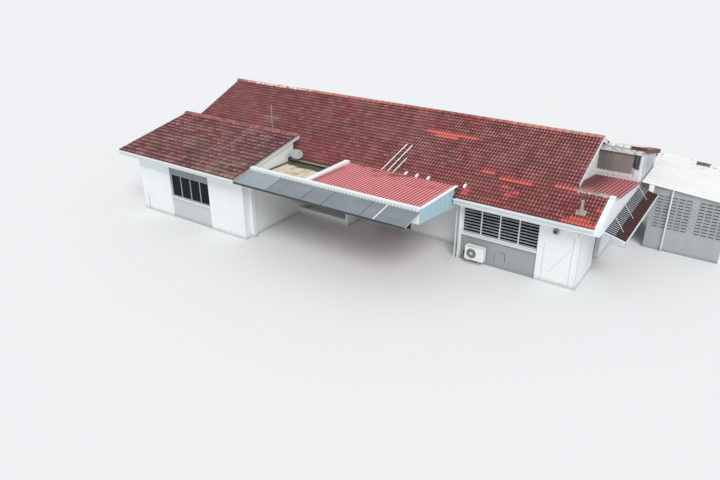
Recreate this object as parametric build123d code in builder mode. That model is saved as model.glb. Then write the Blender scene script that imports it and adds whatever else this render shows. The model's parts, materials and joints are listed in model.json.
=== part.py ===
"""Single-storey bungalow with a recessed carport, tiled roofs and a side shed.

Millimetres, +X to the right along the front, +Y to the rear, +Z up.
The origin is on the ground under the middle of the whole building.
"""
import os
from math import cos, radians, sin, sqrt, tan

from build123d import *

os.makedirs("parts", exist_ok=True)

# Plan: the origin is set by where the left block's front left corner stands
left_x = -13104
front_y = -7272.5
left_block_width = 7400
carport_width = 9400
right_block_width = 5400
carport_depth = 4100
porch_depth = 1200
body_depth = 9000
extension_width = 750
extension_setback = 5300
wall = 200

# Heights
floor_top = 150
left_eave_height = 3350
main_eave_height = 3211
left_soffit_height = 3100
main_soffit_height = 2920
deck_underside = 2960
deck_thickness = 140
beam_top = 3630
hood_underside = 2810
hood_thickness = 120

# Roof form
main_pitch = 22.8
left_pitch = 11.0
roof_thickness = 150
left_eave_overhang = 600
left_verge_overhang = 700
left_block_right_verge = 60
main_eave_overhang = 650
centre_eave_overhang = 500
main_verge_overhang = 720
right_verge_overhang = 290
rear_end_overhang = 80
clerestory_setback = 250
clerestory_overhang = 450
right_gable_inset = 1146
lower_roof_depth = 1800
rear_end_drop = 180
rear_end_pitch = 14.4
rear_end_cheek = 100

# Boards, gutters and pipes
board = 25
board_depth = 190
end_fascia_depth = 260
gutter_radius = 65
gutter_wall = 4
gutter_drop = 20
pipe_radius = 38
outlet_drop = 110
elbow_height = 2700
elbow_radius = 80
fit = 0.3

# Windows and doors
bar = 50
frame_depth = 60
glass = 6
recess = 60
left_window_start = 2280
left_window_width = 2800
left_sill = 1200
left_head = 2420
louvre_start = 80
louvre_width = 3530
louvre_sill = 1330
louvre_head = 2570
louvre_bays = 4
louvre_rows = 8
louvre_tilt = 40
blade_depth = 120
blade_thickness = 8
rear_sill = 1150
rear_head = 2350
rear_window_width = 1800
rear_window_starts = (1800, 7000, 12200, 17200)
side_window_starts = (1500, 6600, 10000)
side_window_width = 1500
porch_window_start = 500
porch_window_width = 2200
porch_sill = 900
entrance_start = 4300
entrance_width = 1900
door_head = 2250
door_leaf = 45
side_door_start = 2300
side_door_width = 1100

# Carport
beam_width = 200
beam_setback = 550
pilaster_width = 250
pilaster_projection = 150
deck_width = 3200
deck_beam_width = 260
side_beam_width = 150
capping_width = 110
capping_thickness = 20
metal_roof_rear_lap = 350
sheet = 6
rib_height = 32
rib_width = 60
rib_foot = 0.75
rib_crown = 0.4
metal_rib_pitch = 160
low_rib_pitch = 160
metal_roof_front_height = 3560
metal_roof_rear_height = 3500
purlin_size = 80
purlin_count = 3
cladding = 50
cladding_front_depth = 560
cladding_rear_depth = 845
awning_height = 3475
awning_reach = 1170
awning_drop = 220
awning_bays = 7
awning_panel = 16
awning_arm = 50
awning_joint = 4
planter_height = 350
planter_kerb_width = 120
fin_wall_width = 150

# Right-hand end
parapet_width = 230
parapet_rise = 75
low_roof_front_height = 3960
low_roof_rear_height = 3360
low_roof_overhang = 150
panel_recess = 100
panel_width = 1540
panel_sill = 3560
panel_head = 4600
panel_rib_pitch = 90
panel_rib_width = 54
panel_rib_angle = 60
canopy_start = 60
canopy_reach = 850
canopy_rise = 110
canopy_drop = 240
canopy_rib_pitch = 180
canopy_bar = 50
canopy_clearance = 15
tie_radius = 12
tie_rise = 120
tie_reach = 600
tie_skew = 900
tie_ribs = (3, 12, 26)

# Shed
shed_reach = 4000
shed_setback = 600
shed_depth = 5300
shed_wall = 100
shed_high = 3200
shed_low = 2850
shed_eave = 120
shed_entry = 650
shed_rib_pitch = 400
shed_post = 60
shed_post_start = 1450
vent_block_rows = 11
vent_bays = ((850, 5), (2620, 4))
vent_block_pitch_x = 300
vent_block_pitch_z = 150
vent_slot_length = 230
vent_slot_height = 65
vent_block_base = 1100

# Small fittings
ac_width = 900
ac_height = 630
ac_depth = 320
ac_base = 260
ac_start = 450
ac_gap = 60
ac_corner = 25
ac_bracket = 40
ac_bracket_inset = 180
fan_radius = 230
fan_inset = 325
fan_hub_radius = 70
fan_depth = 30
dish_radius = 320
dish_depth = 60
dish_sheet = 6
dish_knuckle = 30
dish_reach = 450
dish_front = 300
dish_height = 3470
dish_axis = Vector(0.42, -0.30, 0.86).normalized()
feed_radius = 10
feed_reach = 330
horn_radius = 26
horn_length = 90
mast_radius = 18
mast_height = 1300
mast_inset = 5800
boom_length = 960
boom_size = 24
boom_rise = 640
element_length = 520
element_size = 10
element_offsets = (-460, -300, -140, 140, 300, 460)
vent_pipe_inset = 230
vent_pipe_setback = -50
vent_pipe_radius = 60
vent_pipe_height = 520
roof_pipe_radius = 28
roof_pipe_gap = 60
roof_pipe_runs = ((5250, 2100), (5550, 2100), (5830, 1200))

# Lines of the plan
carport_x0 = left_x + left_block_width
carport_x1 = carport_x0 + carport_width
carport_edge_x = carport_x1 - wall
right_x = carport_x1 + right_block_width
extension_x = right_x + extension_width
right_y = front_y + carport_depth
porch_y = right_y + porch_depth
rear_y = right_y + body_depth
ridge_y = right_y + body_depth / 2
extension_y = right_y + extension_setback
clerestory_y = right_y - clerestory_setback
left_eave_y = front_y - left_eave_overhang
left_top_y = clerestory_y + clerestory_overhang
main_eave_y = right_y - main_eave_overhang
rear_eave_y = rear_y + main_eave_overhang
centre_eave_y = right_y - centre_eave_overhang
main_verge_x = left_x - main_verge_overhang
left_verge_x = left_x - left_verge_overhang
left_verge_x1 = carport_x0 + left_block_right_verge
gable_x0 = right_x - right_gable_inset - wall
gable_x1 = right_x - right_gable_inset
right_verge_x = gable_x1 + right_verge_overhang
lower_roof_y = main_eave_y + lower_roof_depth
parapet_x0 = extension_x - parapet_width
shed_y0 = extension_y + shed_setback
vent_y0 = shed_y0 + shed_eave
main_rise = tan(radians(main_pitch))
left_rise = tan(radians(left_pitch))
rear_end_rise = tan(radians(rear_end_pitch))
low_rise = (low_roof_rear_height - low_roof_front_height) / (extension_y - lower_roof_y)


def main_top(y):
    """Height of the main roof's surface above depth y."""
    return main_eave_height + (body_depth / 2 + main_eave_overhang - abs(y - ridge_y)) * main_rise


def left_top(y):
    """Height of the left block's roof surface above depth y."""
    return left_eave_height + (y - left_eave_y) * left_rise


def rear_end_top(y):
    """Height of the rear extension's roof surface above depth y."""
    return main_top(extension_y) - rear_end_drop - (y - extension_y) * rear_end_rise


def low_roof_under(y):
    """Height of the low metal roof's underside above depth y."""
    return low_roof_front_height + (y - lower_roof_y) * low_rise


def span(a0, a1, b0, b1, mode=Mode.ADD):
    """Rectangle between two corners of the sketch in use."""
    with Locations(((a0 + a1) / 2, (b0 + b1) / 2)):
        Rectangle(a1 - a0, b1 - b0, mode=mode)


def block(x0, x1, y0, y1, z0, z1, mode=Mode.ADD):
    """Upright block between two corners of the plan and two heights."""
    with BuildSketch(Plane.XY.offset(z0)) as plan:
        span(x0, x1, y0, y1)
    extrude(plan.sketch, amount=z1 - z0, mode=mode)


def section(x0, x1, outline, mode=Mode.ADD):
    """Outline of (y, z) corners carried along X from x0 to x1."""
    with BuildSketch(Plane(origin=(x0, 0, 0), x_dir=(0, 1, 0), z_dir=(1, 0, 0))) as profile:
        with BuildLine():
            Polyline(*outline, close=True)
        make_face()
    extrude(profile.sketch, amount=x1 - x0, mode=mode)


def elevation(y0, y1, outline, mode=Mode.ADD):
    """Outline of (x, z) corners carried along Y from y0 to y1."""
    with BuildSketch(Plane(origin=(0, y0, 0), x_dir=(1, 0, 0), z_dir=(0, -1, 0))) as profile:
        with BuildLine():
            Polyline(*outline, close=True)
        make_face()
    extrude(profile.sketch, amount=y0 - y1, mode=mode)


def roof_slab(x0, x1, y0, y1, surface):
    """Pitched slab under a roof surface, with plumb ends."""
    outline = [
        (y0, surface(y0)),
        (y1, surface(y1)),
        (y1, surface(y1) - roof_thickness),
        (y0, surface(y0) - roof_thickness),
    ]
    section(x0, x1, outline)


def under_main(y):
    """Height of the main roof slab's underside."""
    return main_top(y) - roof_thickness


def under_left(y):
    """Height of the left block's roof slab's underside."""
    return left_top(y) - roof_thickness


def ribbed_outline(a0, a1, pitch):
    """Corners of a sheet with flat-topped ribs, first along the top and then back along the bottom."""
    count = max(1, round((a1 - a0) / pitch))
    step = (a1 - a0) / count
    top = []
    for i in range(count):
        middle = a0 + (i + 0.5) * step
        top += [
            (middle - rib_width * rib_foot, sheet),
            (middle - rib_width * rib_crown, sheet + rib_height),
            (middle + rib_width * rib_crown, sheet + rib_height),
            (middle + rib_width * rib_foot, sheet),
        ]
    bottom = [(a, z - sheet) for a, z in reversed(top)]
    return [(a0, sheet), *top, (a1, sheet), (a1, 0), *bottom, (a0, 0)]


def ribbed_sheet(start, end, across, width, pitch):
    """Ribbed sheet whose ribs run from start to end and whose profile spans width along across."""
    run = Vector(end) - Vector(start)
    with BuildSketch(Plane(origin=start, x_dir=across, z_dir=run.normalized())) as profile:
        with BuildLine():
            Polyline(*ribbed_outline(0, width, pitch), close=True)
        make_face()
    extrude(profile.sketch, amount=run.length)


def front_plane(y):
    """Upright plane seen from the front, with X to the right and Z up."""
    return Plane(origin=(0, y, 0), x_dir=(1, 0, 0), z_dir=(0, -1, 0))


def side_plane(x):
    """Upright plane seen from the right, with Y along it and Z up."""
    return Plane(origin=(x, 0, 0), x_dir=(0, 1, 0), z_dir=(1, 0, 0))


def lights(a0, a1, panes):
    """Clear spans between the bars of a window from a0 to a1."""
    pitch = (a1 - a0 - bar) / panes
    return [(a0 + bar + i * pitch, a0 + (i + 1) * pitch) for i in range(panes)]


def window_frame(plane, a0, a1, z0, z1, panes):
    """Frame and bars of a window in its wall."""
    with BuildSketch(plane) as face:
        span(a0, a1, z0, z1)
        for light0, light1 in lights(a0, a1, panes):
            span(light0, light1, z0 + bar, z1 - bar, Mode.SUBTRACT)
    extrude(face.sketch, amount=frame_depth / 2, both=True)


def window_panes(plane, a0, a1, z0, z1, panes):
    """Glass in each light of a window."""
    with BuildSketch(plane) as face:
        for light0, light1 in lights(a0, a1, panes):
            span(light0 + fit, light1 - fit, z0 + bar + fit, z1 - bar - fit)
    extrude(face.sketch, amount=glass / 2, both=True)


def save(piece, label):
    """Name a finished piece and write it out."""
    piece.part.label = label
    export_step(piece.part, f"parts/{label}.step")


# Windows that share one pattern: plane, start, end, sill, head and panes
left_window_x = left_x + left_window_start
porch_window_x = carport_x0 + porch_window_start
windows = [
    (front_plane(front_y + recess + frame_depth), left_window_x, left_window_x + left_window_width,
     left_sill, left_head, 4),
    (front_plane(porch_y + wall / 2), porch_window_x, porch_window_x + porch_window_width,
     porch_sill, rear_head, 3),
]
for start in rear_window_starts:
    windows.append((front_plane(rear_y - wall / 2), left_x + start, left_x + start + rear_window_width,
                    rear_sill, rear_head, 3))
for start in side_window_starts:
    windows.append((side_plane(left_x + wall / 2), front_y + start, front_y + start + side_window_width,
                    rear_sill, rear_head, 2))

# Floor inside the walls
with BuildPart() as floor_slab:
    block(left_x + wall, right_x - wall, porch_y + wall, rear_y - wall, 0, floor_top)
    block(left_x + wall, carport_x0 - wall, front_y + wall, porch_y + wall, 0, floor_top)
    block(carport_x1 + wall, right_x - wall, right_y + wall, porch_y + wall, 0, floor_top)
save(floor_slab, "floor_slab")

# Left block: front wall with its recessed window bay
with BuildPart() as left_front_wall:
    section(left_x + wall, carport_x0 - wall, [
        (front_y, 0),
        (front_y + wall, 0),
        (front_y + wall, under_left(front_y + wall)),
        (front_y, under_left(front_y)),
    ])
    block(left_window_x, left_window_x + left_window_width, front_y, front_y + recess,
          0, left_eave_height, Mode.SUBTRACT)
    block(left_window_x, left_window_x + left_window_width, front_y, front_y + wall,
          left_sill, left_head, Mode.SUBTRACT)
save(left_front_wall, "left_front_wall")


def long_side_wall(x0, back_y):
    """Side wall under the left block's roof and then under the main roof, back to back_y."""
    outline = [(front_y, 0), (back_y, 0), (back_y, under_main(back_y))]
    if back_y > ridge_y:
        outline.append((ridge_y, under_main(ridge_y)))
    outline += [
        (clerestory_y, under_main(clerestory_y)),
        (clerestory_y, under_left(clerestory_y)),
        (front_y, under_left(front_y)),
    ]
    section(x0, x0 + wall, outline)


with BuildPart() as left_side_wall:
    long_side_wall(left_x, rear_y)
    for start in side_window_starts:
        block(left_x, left_x + wall, front_y + start, front_y + start + side_window_width,
              rear_sill, rear_head, Mode.SUBTRACT)
save(left_side_wall, "left_side_wall")

with BuildPart() as carport_left_wall:
    long_side_wall(carport_x0 - wall, porch_y + wall)
    block(carport_x0, carport_x0 + pilaster_projection, front_y + beam_setback - pilaster_width / 2,
          front_y + beam_setback + pilaster_width / 2, 0, deck_underside)
save(carport_left_wall, "carport_left_wall")

with BuildPart() as clerestory_wall:
    section(left_x + wall, carport_x0 - wall, [
        (clerestory_y - wall, hood_underside),
        (clerestory_y, hood_underside),
        (clerestory_y, under_left(clerestory_y)),
        (clerestory_y - wall, under_left(clerestory_y - wall)),
    ])
save(clerestory_wall, "clerestory_wall")

# Wall behind the carport, with a window over the planter and the entrance
entrance_x = carport_x0 + entrance_start
with BuildPart() as carport_back_wall:
    section(carport_x0, carport_x1, [
        (porch_y, 0),
        (porch_y + wall, 0),
        (porch_y + wall, under_main(porch_y + wall)),
        (porch_y, under_main(porch_y)),
    ])
    block(porch_window_x, porch_window_x + porch_window_width, porch_y, porch_y + wall,
          porch_sill, rear_head, Mode.SUBTRACT)
    block(entrance_x, entrance_x + entrance_width, porch_y, porch_y + wall, floor_top, door_head, Mode.SUBTRACT)
save(carport_back_wall, "carport_back_wall")

fin_x = carport_x0 + deck_width - fin_wall_width
with BuildPart() as fin_wall:
    block(fin_x, fin_x + fin_wall_width, right_y, porch_y, 0, deck_underside)
save(fin_wall, "fin_wall")

with BuildPart() as planter_kerb:
    block(carport_x0, fin_x, right_y, right_y + planter_kerb_width, 0, planter_height)
save(planter_kerb, "planter_kerb")

# Right block
louvre_x = carport_x1 + louvre_start
with BuildPart() as right_front_wall:
    section(carport_x1, right_x - wall, [
        (right_y, 0),
        (right_y + wall, 0),
        (right_y + wall, under_main(right_y + wall)),
        (right_y, under_main(right_y)),
    ])
    block(louvre_x, louvre_x + louvre_width, right_y, right_y + recess, 0, louvre_head + bar, Mode.SUBTRACT)
    block(louvre_x, louvre_x + louvre_width, right_y, right_y + wall, louvre_sill, louvre_head, Mode.SUBTRACT)
save(right_front_wall, "right_front_wall")

with BuildPart() as right_block_left_wall:
    section(carport_x1, carport_x1 + wall, [
        (right_y + wall, 0),
        (porch_y + wall, 0),
        (porch_y + wall, under_main(porch_y + wall)),
        (right_y + wall, under_main(right_y + wall)),
    ])
save(right_block_left_wall, "right_block_left_wall")

side_door_y = right_y + side_door_start
side_door_y1 = side_door_y + side_door_width
with BuildPart() as right_side_wall_front:
    block(right_x - wall, right_x, right_y, side_door_y, 0, hood_underside)
save(right_side_wall_front, "right_side_wall_front")

with BuildPart() as right_side_lintel:
    block(right_x - wall, right_x, side_door_y, side_door_y1, door_head, hood_underside)
save(right_side_lintel, "right_side_lintel")

with BuildPart() as right_side_wall_rear:
    block(right_x - wall, right_x, side_door_y1, extension_y + wall, 0, hood_underside)
save(right_side_wall_rear, "right_side_wall_rear")

# Parapet along the right-hand end, on a slab that reaches out over the side wall
with BuildPart() as right_parapet:
    section(parapet_x0, extension_x, [
        (main_eave_y, main_soffit_height),
        (right_y, main_soffit_height),
        (right_y, hood_underside),
        (extension_y, hood_underside),
        (extension_y, low_roof_under(extension_y)),
        (lower_roof_y, low_roof_under(lower_roof_y)),
        (lower_roof_y, main_top(lower_roof_y) + parapet_rise),
        (main_eave_y, main_top(main_eave_y) + parapet_rise),
    ])
    block(right_x - wall, parapet_x0, right_y, extension_y, hood_underside, hood_underside + hood_thickness)
save(right_parapet, "right_parapet")

with BuildPart() as right_gable_wall:
    section(gable_x0, gable_x1, [
        (lower_roof_y, hood_underside + hood_thickness),
        (rear_y - wall, hood_underside + hood_thickness),
        (rear_y - wall, under_main(rear_y - wall)),
        (ridge_y, under_main(ridge_y)),
        (lower_roof_y, under_main(lower_roof_y)),
    ])
save(right_gable_wall, "right_gable_wall")

# Rear extension that rises behind the low metal roof


def under_rear_end(y):
    """Height of the underside of the rear extension's roof."""
    return rear_end_top(y) - roof_thickness


with BuildPart() as extension_front_wall:
    wall_head = under_rear_end(extension_y + wall)
    elevation(extension_y, extension_y + wall, [
        (right_x, 0),
        (parapet_x0, 0),
        (parapet_x0, wall_head),
        (gable_x1, wall_head),
        (gable_x1, hood_underside + hood_thickness),
        (right_x, hood_underside + hood_thickness),
    ])
    block(gable_x1, parapet_x0, extension_y, extension_y + panel_recess, panel_sill, panel_head, Mode.SUBTRACT)
save(extension_front_wall, "extension_front_wall")

with BuildPart() as extension_side_wall:
    section(parapet_x0, extension_x, [
        (extension_y, 0),
        (rear_y, 0),
        (rear_y, under_rear_end(rear_y)),
        (extension_y, under_rear_end(extension_y)),
    ])
save(extension_side_wall, "extension_side_wall")

with BuildPart() as rear_wall:
    section(left_x + wall, right_verge_x, [
        (rear_y - wall, 0),
        (rear_y, 0),
        (rear_y, under_main(rear_y)),
        (rear_y - wall, under_main(rear_y - wall)),
    ])
    section(right_verge_x, parapet_x0, [
        (rear_y - wall, 0),
        (rear_y, 0),
        (rear_y, under_rear_end(rear_y)),
        (rear_y - wall, under_rear_end(rear_y - wall)),
    ])
    for start in rear_window_starts:
        block(left_x + start, left_x + start + rear_window_width, rear_y - wall, rear_y,
              rear_sill, rear_head, Mode.SUBTRACT)
save(rear_wall, "rear_wall")

# Roof slabs
with BuildPart() as left_block_roof:
    roof_slab(left_verge_x, left_verge_x1, left_eave_y, left_top_y, left_top)
save(left_block_roof, "left_block_roof")

with BuildPart() as main_roof_front:
    roof_slab(main_verge_x, carport_x0, clerestory_y, ridge_y, main_top)
    roof_slab(carport_x0, carport_x1 - wall / 2, centre_eave_y, ridge_y, main_top)
    roof_slab(carport_x1 - wall / 2, right_verge_x, main_eave_y, ridge_y, main_top)
    roof_slab(right_verge_x, parapet_x0, main_eave_y, lower_roof_y, main_top)
save(main_roof_front, "main_roof_front")

with BuildPart() as main_roof_rear:
    roof_slab(main_verge_x, right_verge_x, ridge_y, rear_eave_y, main_top)
save(main_roof_rear, "main_roof_rear")

with BuildPart() as rear_end_roof:
    roof_slab(right_verge_x, extension_x + rear_end_overhang, extension_y, rear_eave_y, rear_end_top)
    # cheek that closes the step between the two slopes, where the flatter one stands higher
    cheek_y0 = extension_y + rear_end_drop / (main_rise - rear_end_rise)
    cheek_y1 = rear_y - wall
    section(right_verge_x, right_verge_x + rear_end_cheek, [
        (cheek_y0, under_rear_end(cheek_y0)),
        (cheek_y1, under_rear_end(cheek_y1)),
        (cheek_y1, under_main(cheek_y1)),
    ])
save(rear_end_roof, "rear_end_roof")

# Ridge capping on the main ridge and along the top edge of the left block's roof
cap_half_width = 140
cap_rise = 95
with BuildPart() as ridge_caps:
    with BuildSketch(side_plane(main_verge_x)) as ridge_profile:
        with BuildLine():
            foot_z = main_top(ridge_y - cap_half_width)
            Polyline((ridge_y - cap_half_width, foot_z), (ridge_y, main_top(ridge_y)),
                     (ridge_y + cap_half_width, foot_z))
            ThreePointArc((ridge_y + cap_half_width, foot_z), (ridge_y, main_top(ridge_y) + cap_rise),
                          (ridge_y - cap_half_width, foot_z))
        make_face()
    extrude(amount=right_verge_x - main_verge_x)
    with BuildSketch(side_plane(left_verge_x)) as edge_profile:
        with BuildLine():
            edge_y = left_top_y - 2 * cap_half_width
            Polyline((edge_y, left_top(edge_y)), (left_top_y, left_top(left_top_y)))
            ThreePointArc((left_top_y, left_top(left_top_y)),
                          (left_top_y - cap_half_width, left_top(left_top_y - cap_half_width) + cap_rise / 2),
                          (edge_y, left_top(edge_y)))
        make_face()
    extrude(amount=left_verge_x1 - left_verge_x)
save(ridge_caps, "ridge_caps")

# Boards at the verges


def verge_board(x0, outline_top):
    """Board hung against a slab's end, following its top edge."""
    lower = [(y, z - board_depth) for y, z in reversed(outline_top)]
    section(x0, x0 + board, outline_top + lower)


# The right-hand verge board starts where its lower edge clears the low metal roof's ribs
low_rib_crown = (sheet + rib_height) * sqrt(1 + low_rise ** 2)
low_roof_clear = low_roof_front_height + low_rib_crown + board_depth - main_top(lower_roof_y)
right_board_y = lower_roof_y + low_roof_clear / (main_rise - low_rise)
with BuildPart() as verge_boards:
    left_edge = [(left_eave_y, left_top(left_eave_y)), (left_top_y, left_top(left_top_y))]
    verge_board(left_verge_x - board, left_edge)
    verge_board(left_verge_x1, left_edge)
    verge_board(main_verge_x - board, [
        (left_top_y + board, main_top(left_top_y + board)),
        (ridge_y, main_top(ridge_y)),
        (rear_eave_y, main_top(rear_eave_y)),
    ])
    verge_board(right_verge_x, [
        (right_board_y, main_top(right_board_y)),
        (ridge_y, main_top(ridge_y)),
        (extension_y - board, main_top(extension_y - board)),
    ])
    # board across the front end of the rear extension's roof
    end_fascia_top = rear_end_top(extension_y)
    block(gable_x1, extension_x + rear_end_overhang, extension_y - board, extension_y,
          end_fascia_top - end_fascia_depth, end_fascia_top)
save(verge_boards, "verge_boards")

# Boxed eaves: fascia and soffit of each eave, in one piece


def boxed_eave(x0, x1, eave_y, wall_y, soffit_z, eave_z):
    """Fascia in front of the slab's end and soffit back to the wall."""
    out = -1 if eave_y < wall_y else 1
    section(x0, x1, [
        (eave_y + out * board, soffit_z),
        (wall_y, soffit_z),
        (wall_y, soffit_z + board),
        (eave_y, soffit_z + board),
        (eave_y, eave_z - board),
        (eave_y + out * board, eave_z - board),
    ])


with BuildPart() as boxed_eaves:
    boxed_eave(left_verge_x, left_verge_x1, left_eave_y, front_y, left_soffit_height, left_eave_height)
    boxed_eave(carport_x1, parapet_x0, main_eave_y, right_y, main_soffit_height, main_eave_height)
    boxed_eave(main_verge_x, right_verge_x, rear_eave_y, rear_y, main_soffit_height, main_eave_height)
    rear_end_eave = rear_end_top(rear_eave_y)
    rear_end_soffit = rear_end_eave - (main_eave_height - main_soffit_height)
    boxed_eave(right_verge_x, extension_x, rear_eave_y, rear_y, rear_end_soffit, rear_end_eave)
save(boxed_eaves, "boxed_eaves")


def gutter(x0, x1, fascia_y, top_z, out):
    """Half-round gutter on the face of a fascia."""
    middle = (fascia_y + out * gutter_radius, top_z)
    with BuildSketch(side_plane(x0)) as profile:
        with Locations(middle):
            Circle(gutter_radius)
            Circle(gutter_radius - gutter_wall, mode=Mode.SUBTRACT)
        span(middle[0] - gutter_radius, middle[0] + gutter_radius, top_z, top_z + gutter_radius, Mode.SUBTRACT)
    extrude(profile.sketch, amount=x1 - x0)


gutter_top = main_eave_height - board - gutter_drop
with BuildPart() as gutters:
    gutter(left_verge_x, left_verge_x1, left_eave_y - board, left_eave_height - board - gutter_drop, -1)
    gutter(carport_x0, carport_x0 + deck_width, centre_eave_y, main_top(centre_eave_y) - board - gutter_drop, -1)
    gutter(carport_x1 - wall / 2, parapet_x0, main_eave_y - board, gutter_top, -1)
    gutter(main_verge_x, right_verge_x, rear_eave_y + board, gutter_top, 1)
save(gutters, "gutters")

# One pipe bends forward to the gutter, and the other drains the carport's roof
with BuildPart() as downpipes:
    pipe_x = carport_x1 - pipe_radius
    outlet_y = main_eave_y - board - gutter_radius
    with BuildLine():
        FilletPolyline((pipe_x, right_y, 0), (pipe_x, right_y, elbow_height),
                       (pipe_x, outlet_y, gutter_top - gutter_radius - outlet_drop),
                       (pipe_x, outlet_y, gutter_top - gutter_radius), radius=elbow_radius)
    with BuildSketch(Plane.XY):
        with Locations((pipe_x, right_y)):
            Circle(pipe_radius)
    sweep()
    with BuildSketch(Plane.XY):
        with Locations((carport_edge_x, right_y)):
            Circle(pipe_radius)
    extrude(amount=deck_underside)
save(downpipes, "downpipes")

# Carport: concrete deck, beams, metal roof and side cladding
beam_y0 = front_y + beam_setback
beam_y1 = beam_y0 + beam_width
deck_x1 = carport_x0 + deck_width
deck_top = deck_underside + deck_thickness
with BuildPart() as carport_deck:
    block(carport_x0, deck_x1, beam_y1, porch_y, deck_underside, deck_top)
save(carport_deck, "carport_deck")

with BuildPart() as carport_front_beam:
    block(carport_x0, carport_edge_x, beam_y0, beam_y1, deck_underside, beam_top)
    block(carport_x0, left_verge_x1 + board, beam_y0, beam_y1, left_top(beam_y0) - board_depth, beam_top,
          Mode.SUBTRACT)
save(carport_front_beam, "carport_front_beam")

metal_x0 = deck_x1 + deck_beam_width
metal_rear_y = centre_eave_y + metal_roof_rear_lap
metal_rise = (metal_roof_rear_height - metal_roof_front_height) / (metal_rear_y - beam_y1)


def metal_roof_under(y):
    """Height of the carport's metal roof's underside above depth y."""
    return metal_roof_front_height + (y - beam_y1) * metal_rise


def metal_roof_crown(y):
    """Height of the metal roof's rib tops above depth y."""
    return metal_roof_under(y) + (sheet + rib_height) * sqrt(1 + metal_rise ** 2)


with BuildPart() as carport_side_beams:
    section(deck_x1, metal_x0, [
        (beam_y1, deck_underside),
        (centre_eave_y, deck_underside),
        (centre_eave_y, main_top(centre_eave_y)),
        (metal_rear_y, main_top(metal_rear_y)),
        (metal_rear_y, beam_top),
        (beam_y1, beam_top),
    ])
    section(carport_edge_x - side_beam_width, carport_edge_x, [
        (beam_y1, deck_underside),
        (porch_y, deck_underside),
        (porch_y, under_main(centre_eave_y)),
        (centre_eave_y, under_main(centre_eave_y)),
        (centre_eave_y, metal_roof_under(centre_eave_y)),
        (beam_y1, metal_roof_under(beam_y1)),
    ])
    # capping along the metal roof's right-hand edge
    section(carport_edge_x - capping_width, carport_edge_x + cladding, [
        (beam_y1, metal_roof_crown(beam_y1)),
        (metal_rear_y, metal_roof_crown(metal_rear_y)),
        (metal_rear_y, metal_roof_crown(metal_rear_y) + capping_thickness),
        (beam_y1, metal_roof_crown(beam_y1) + capping_thickness),
    ])
save(carport_side_beams, "carport_side_beams")

with BuildPart() as carport_metal_roof:
    ribbed_sheet((metal_x0, metal_rear_y, metal_roof_rear_height), (metal_x0, beam_y1, metal_roof_front_height),
                 (1, 0, 0), carport_edge_x - metal_x0, metal_rib_pitch)
save(carport_metal_roof, "carport_metal_roof")

with BuildPart() as carport_purlins:
    purlin_x1 = carport_edge_x - side_beam_width
    for i in range(purlin_count):
        y = beam_y1 + (centre_eave_y - beam_y1) * (i + 0.5) / purlin_count
        section(metal_x0, purlin_x1, [
            (y, metal_roof_under(y)),
            (y + purlin_size, metal_roof_under(y + purlin_size)),
            (y + purlin_size, metal_roof_under(y) - purlin_size),
            (y, metal_roof_under(y) - purlin_size),
        ])
save(carport_purlins, "carport_purlins")

with BuildPart() as carport_side_cladding:
    cladding_rear_y = centre_eave_y - board
    section(carport_edge_x, carport_edge_x + cladding, [
        (beam_y0, metal_roof_crown(beam_y0)),
        (cladding_rear_y, metal_roof_crown(cladding_rear_y)),
        (cladding_rear_y, metal_roof_rear_height - cladding_rear_depth),
        (beam_y0, metal_roof_front_height - cladding_front_depth),
    ])
save(carport_side_cladding, "carport_side_cladding")

# Awning: panels on arms that reach forward from the beam
awning_x0 = left_verge_x1 + board
awning_pitch = (carport_edge_x - awning_x0) / awning_bays
awning_y0 = beam_y0 - awning_reach


def awning_strip(x0, x1, above, depth):
    """Sloping strip of the awning between two X positions."""
    section(x0, x1, [
        (beam_y0, awning_height + above),
        (beam_y0, awning_height + above - depth),
        (awning_y0, awning_height + above - depth - awning_drop),
        (awning_y0, awning_height + above - awning_drop),
    ])


with BuildPart() as awning_frame:
    for i in range(awning_bays + 1):
        middle = awning_x0 + awning_arm / 2 + i * (awning_pitch - awning_arm / awning_bays)
        awning_strip(middle - awning_arm / 2, middle + awning_arm / 2, -awning_panel, awning_arm)
    # front bar, let into the undersides of the arms
    bar_top = awning_height - awning_drop - awning_panel - awning_arm / 2
    block(awning_x0, carport_edge_x, awning_y0, awning_y0 + awning_arm, bar_top - awning_arm, bar_top)
save(awning_frame, "awning_frame")

with BuildPart() as awning_panels:
    for i in range(awning_bays):
        awning_strip(awning_x0 + i * awning_pitch + awning_joint / 2,
                     awning_x0 + (i + 1) * awning_pitch - awning_joint / 2, 0, awning_panel)
save(awning_panels, "awning_panels")

# Windows
with BuildPart() as window_frames:
    for window in windows:
        window_frame(*window)
save(window_frames, "window_frames")

with BuildPart() as window_glass:
    for window in windows:
        window_panes(*window)
save(window_glass, "window_glass")

louvre_y = right_y + recess + blade_depth / 2
with BuildPart() as louvre_frame:
    with BuildSketch(front_plane(louvre_y)) as louvre_face:
        span(louvre_x, louvre_x + louvre_width, louvre_sill, louvre_head)
        for light0, light1 in lights(louvre_x, louvre_x + louvre_width, louvre_bays):
            span(light0, light1, louvre_sill + bar, louvre_head - bar, Mode.SUBTRACT)
    extrude(louvre_face.sketch, amount=frame_depth / 2, both=True)
save(louvre_frame, "louvre_frame")

# Louvre blades: rows of tilted strips with rounded edges, held between the frame's bars
with BuildPart() as louvre_blades:
    blade_step = (louvre_head - louvre_sill - 2 * bar) / louvre_rows
    for light0, light1 in lights(louvre_x, louvre_x + louvre_width, louvre_bays):
        with BuildSketch(side_plane(light0 + fit)) as blade_ends:
            for row in range(louvre_rows):
                blade_z = louvre_sill + bar + (row + 0.5) * blade_step
                with Locations((louvre_y, blade_z)):
                    SlotOverall(blade_depth, blade_thickness, rotation=louvre_tilt)
        extrude(blade_ends.sketch, amount=light1 - light0 - 2 * fit)
save(louvre_blades, "louvre_blades")

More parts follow.
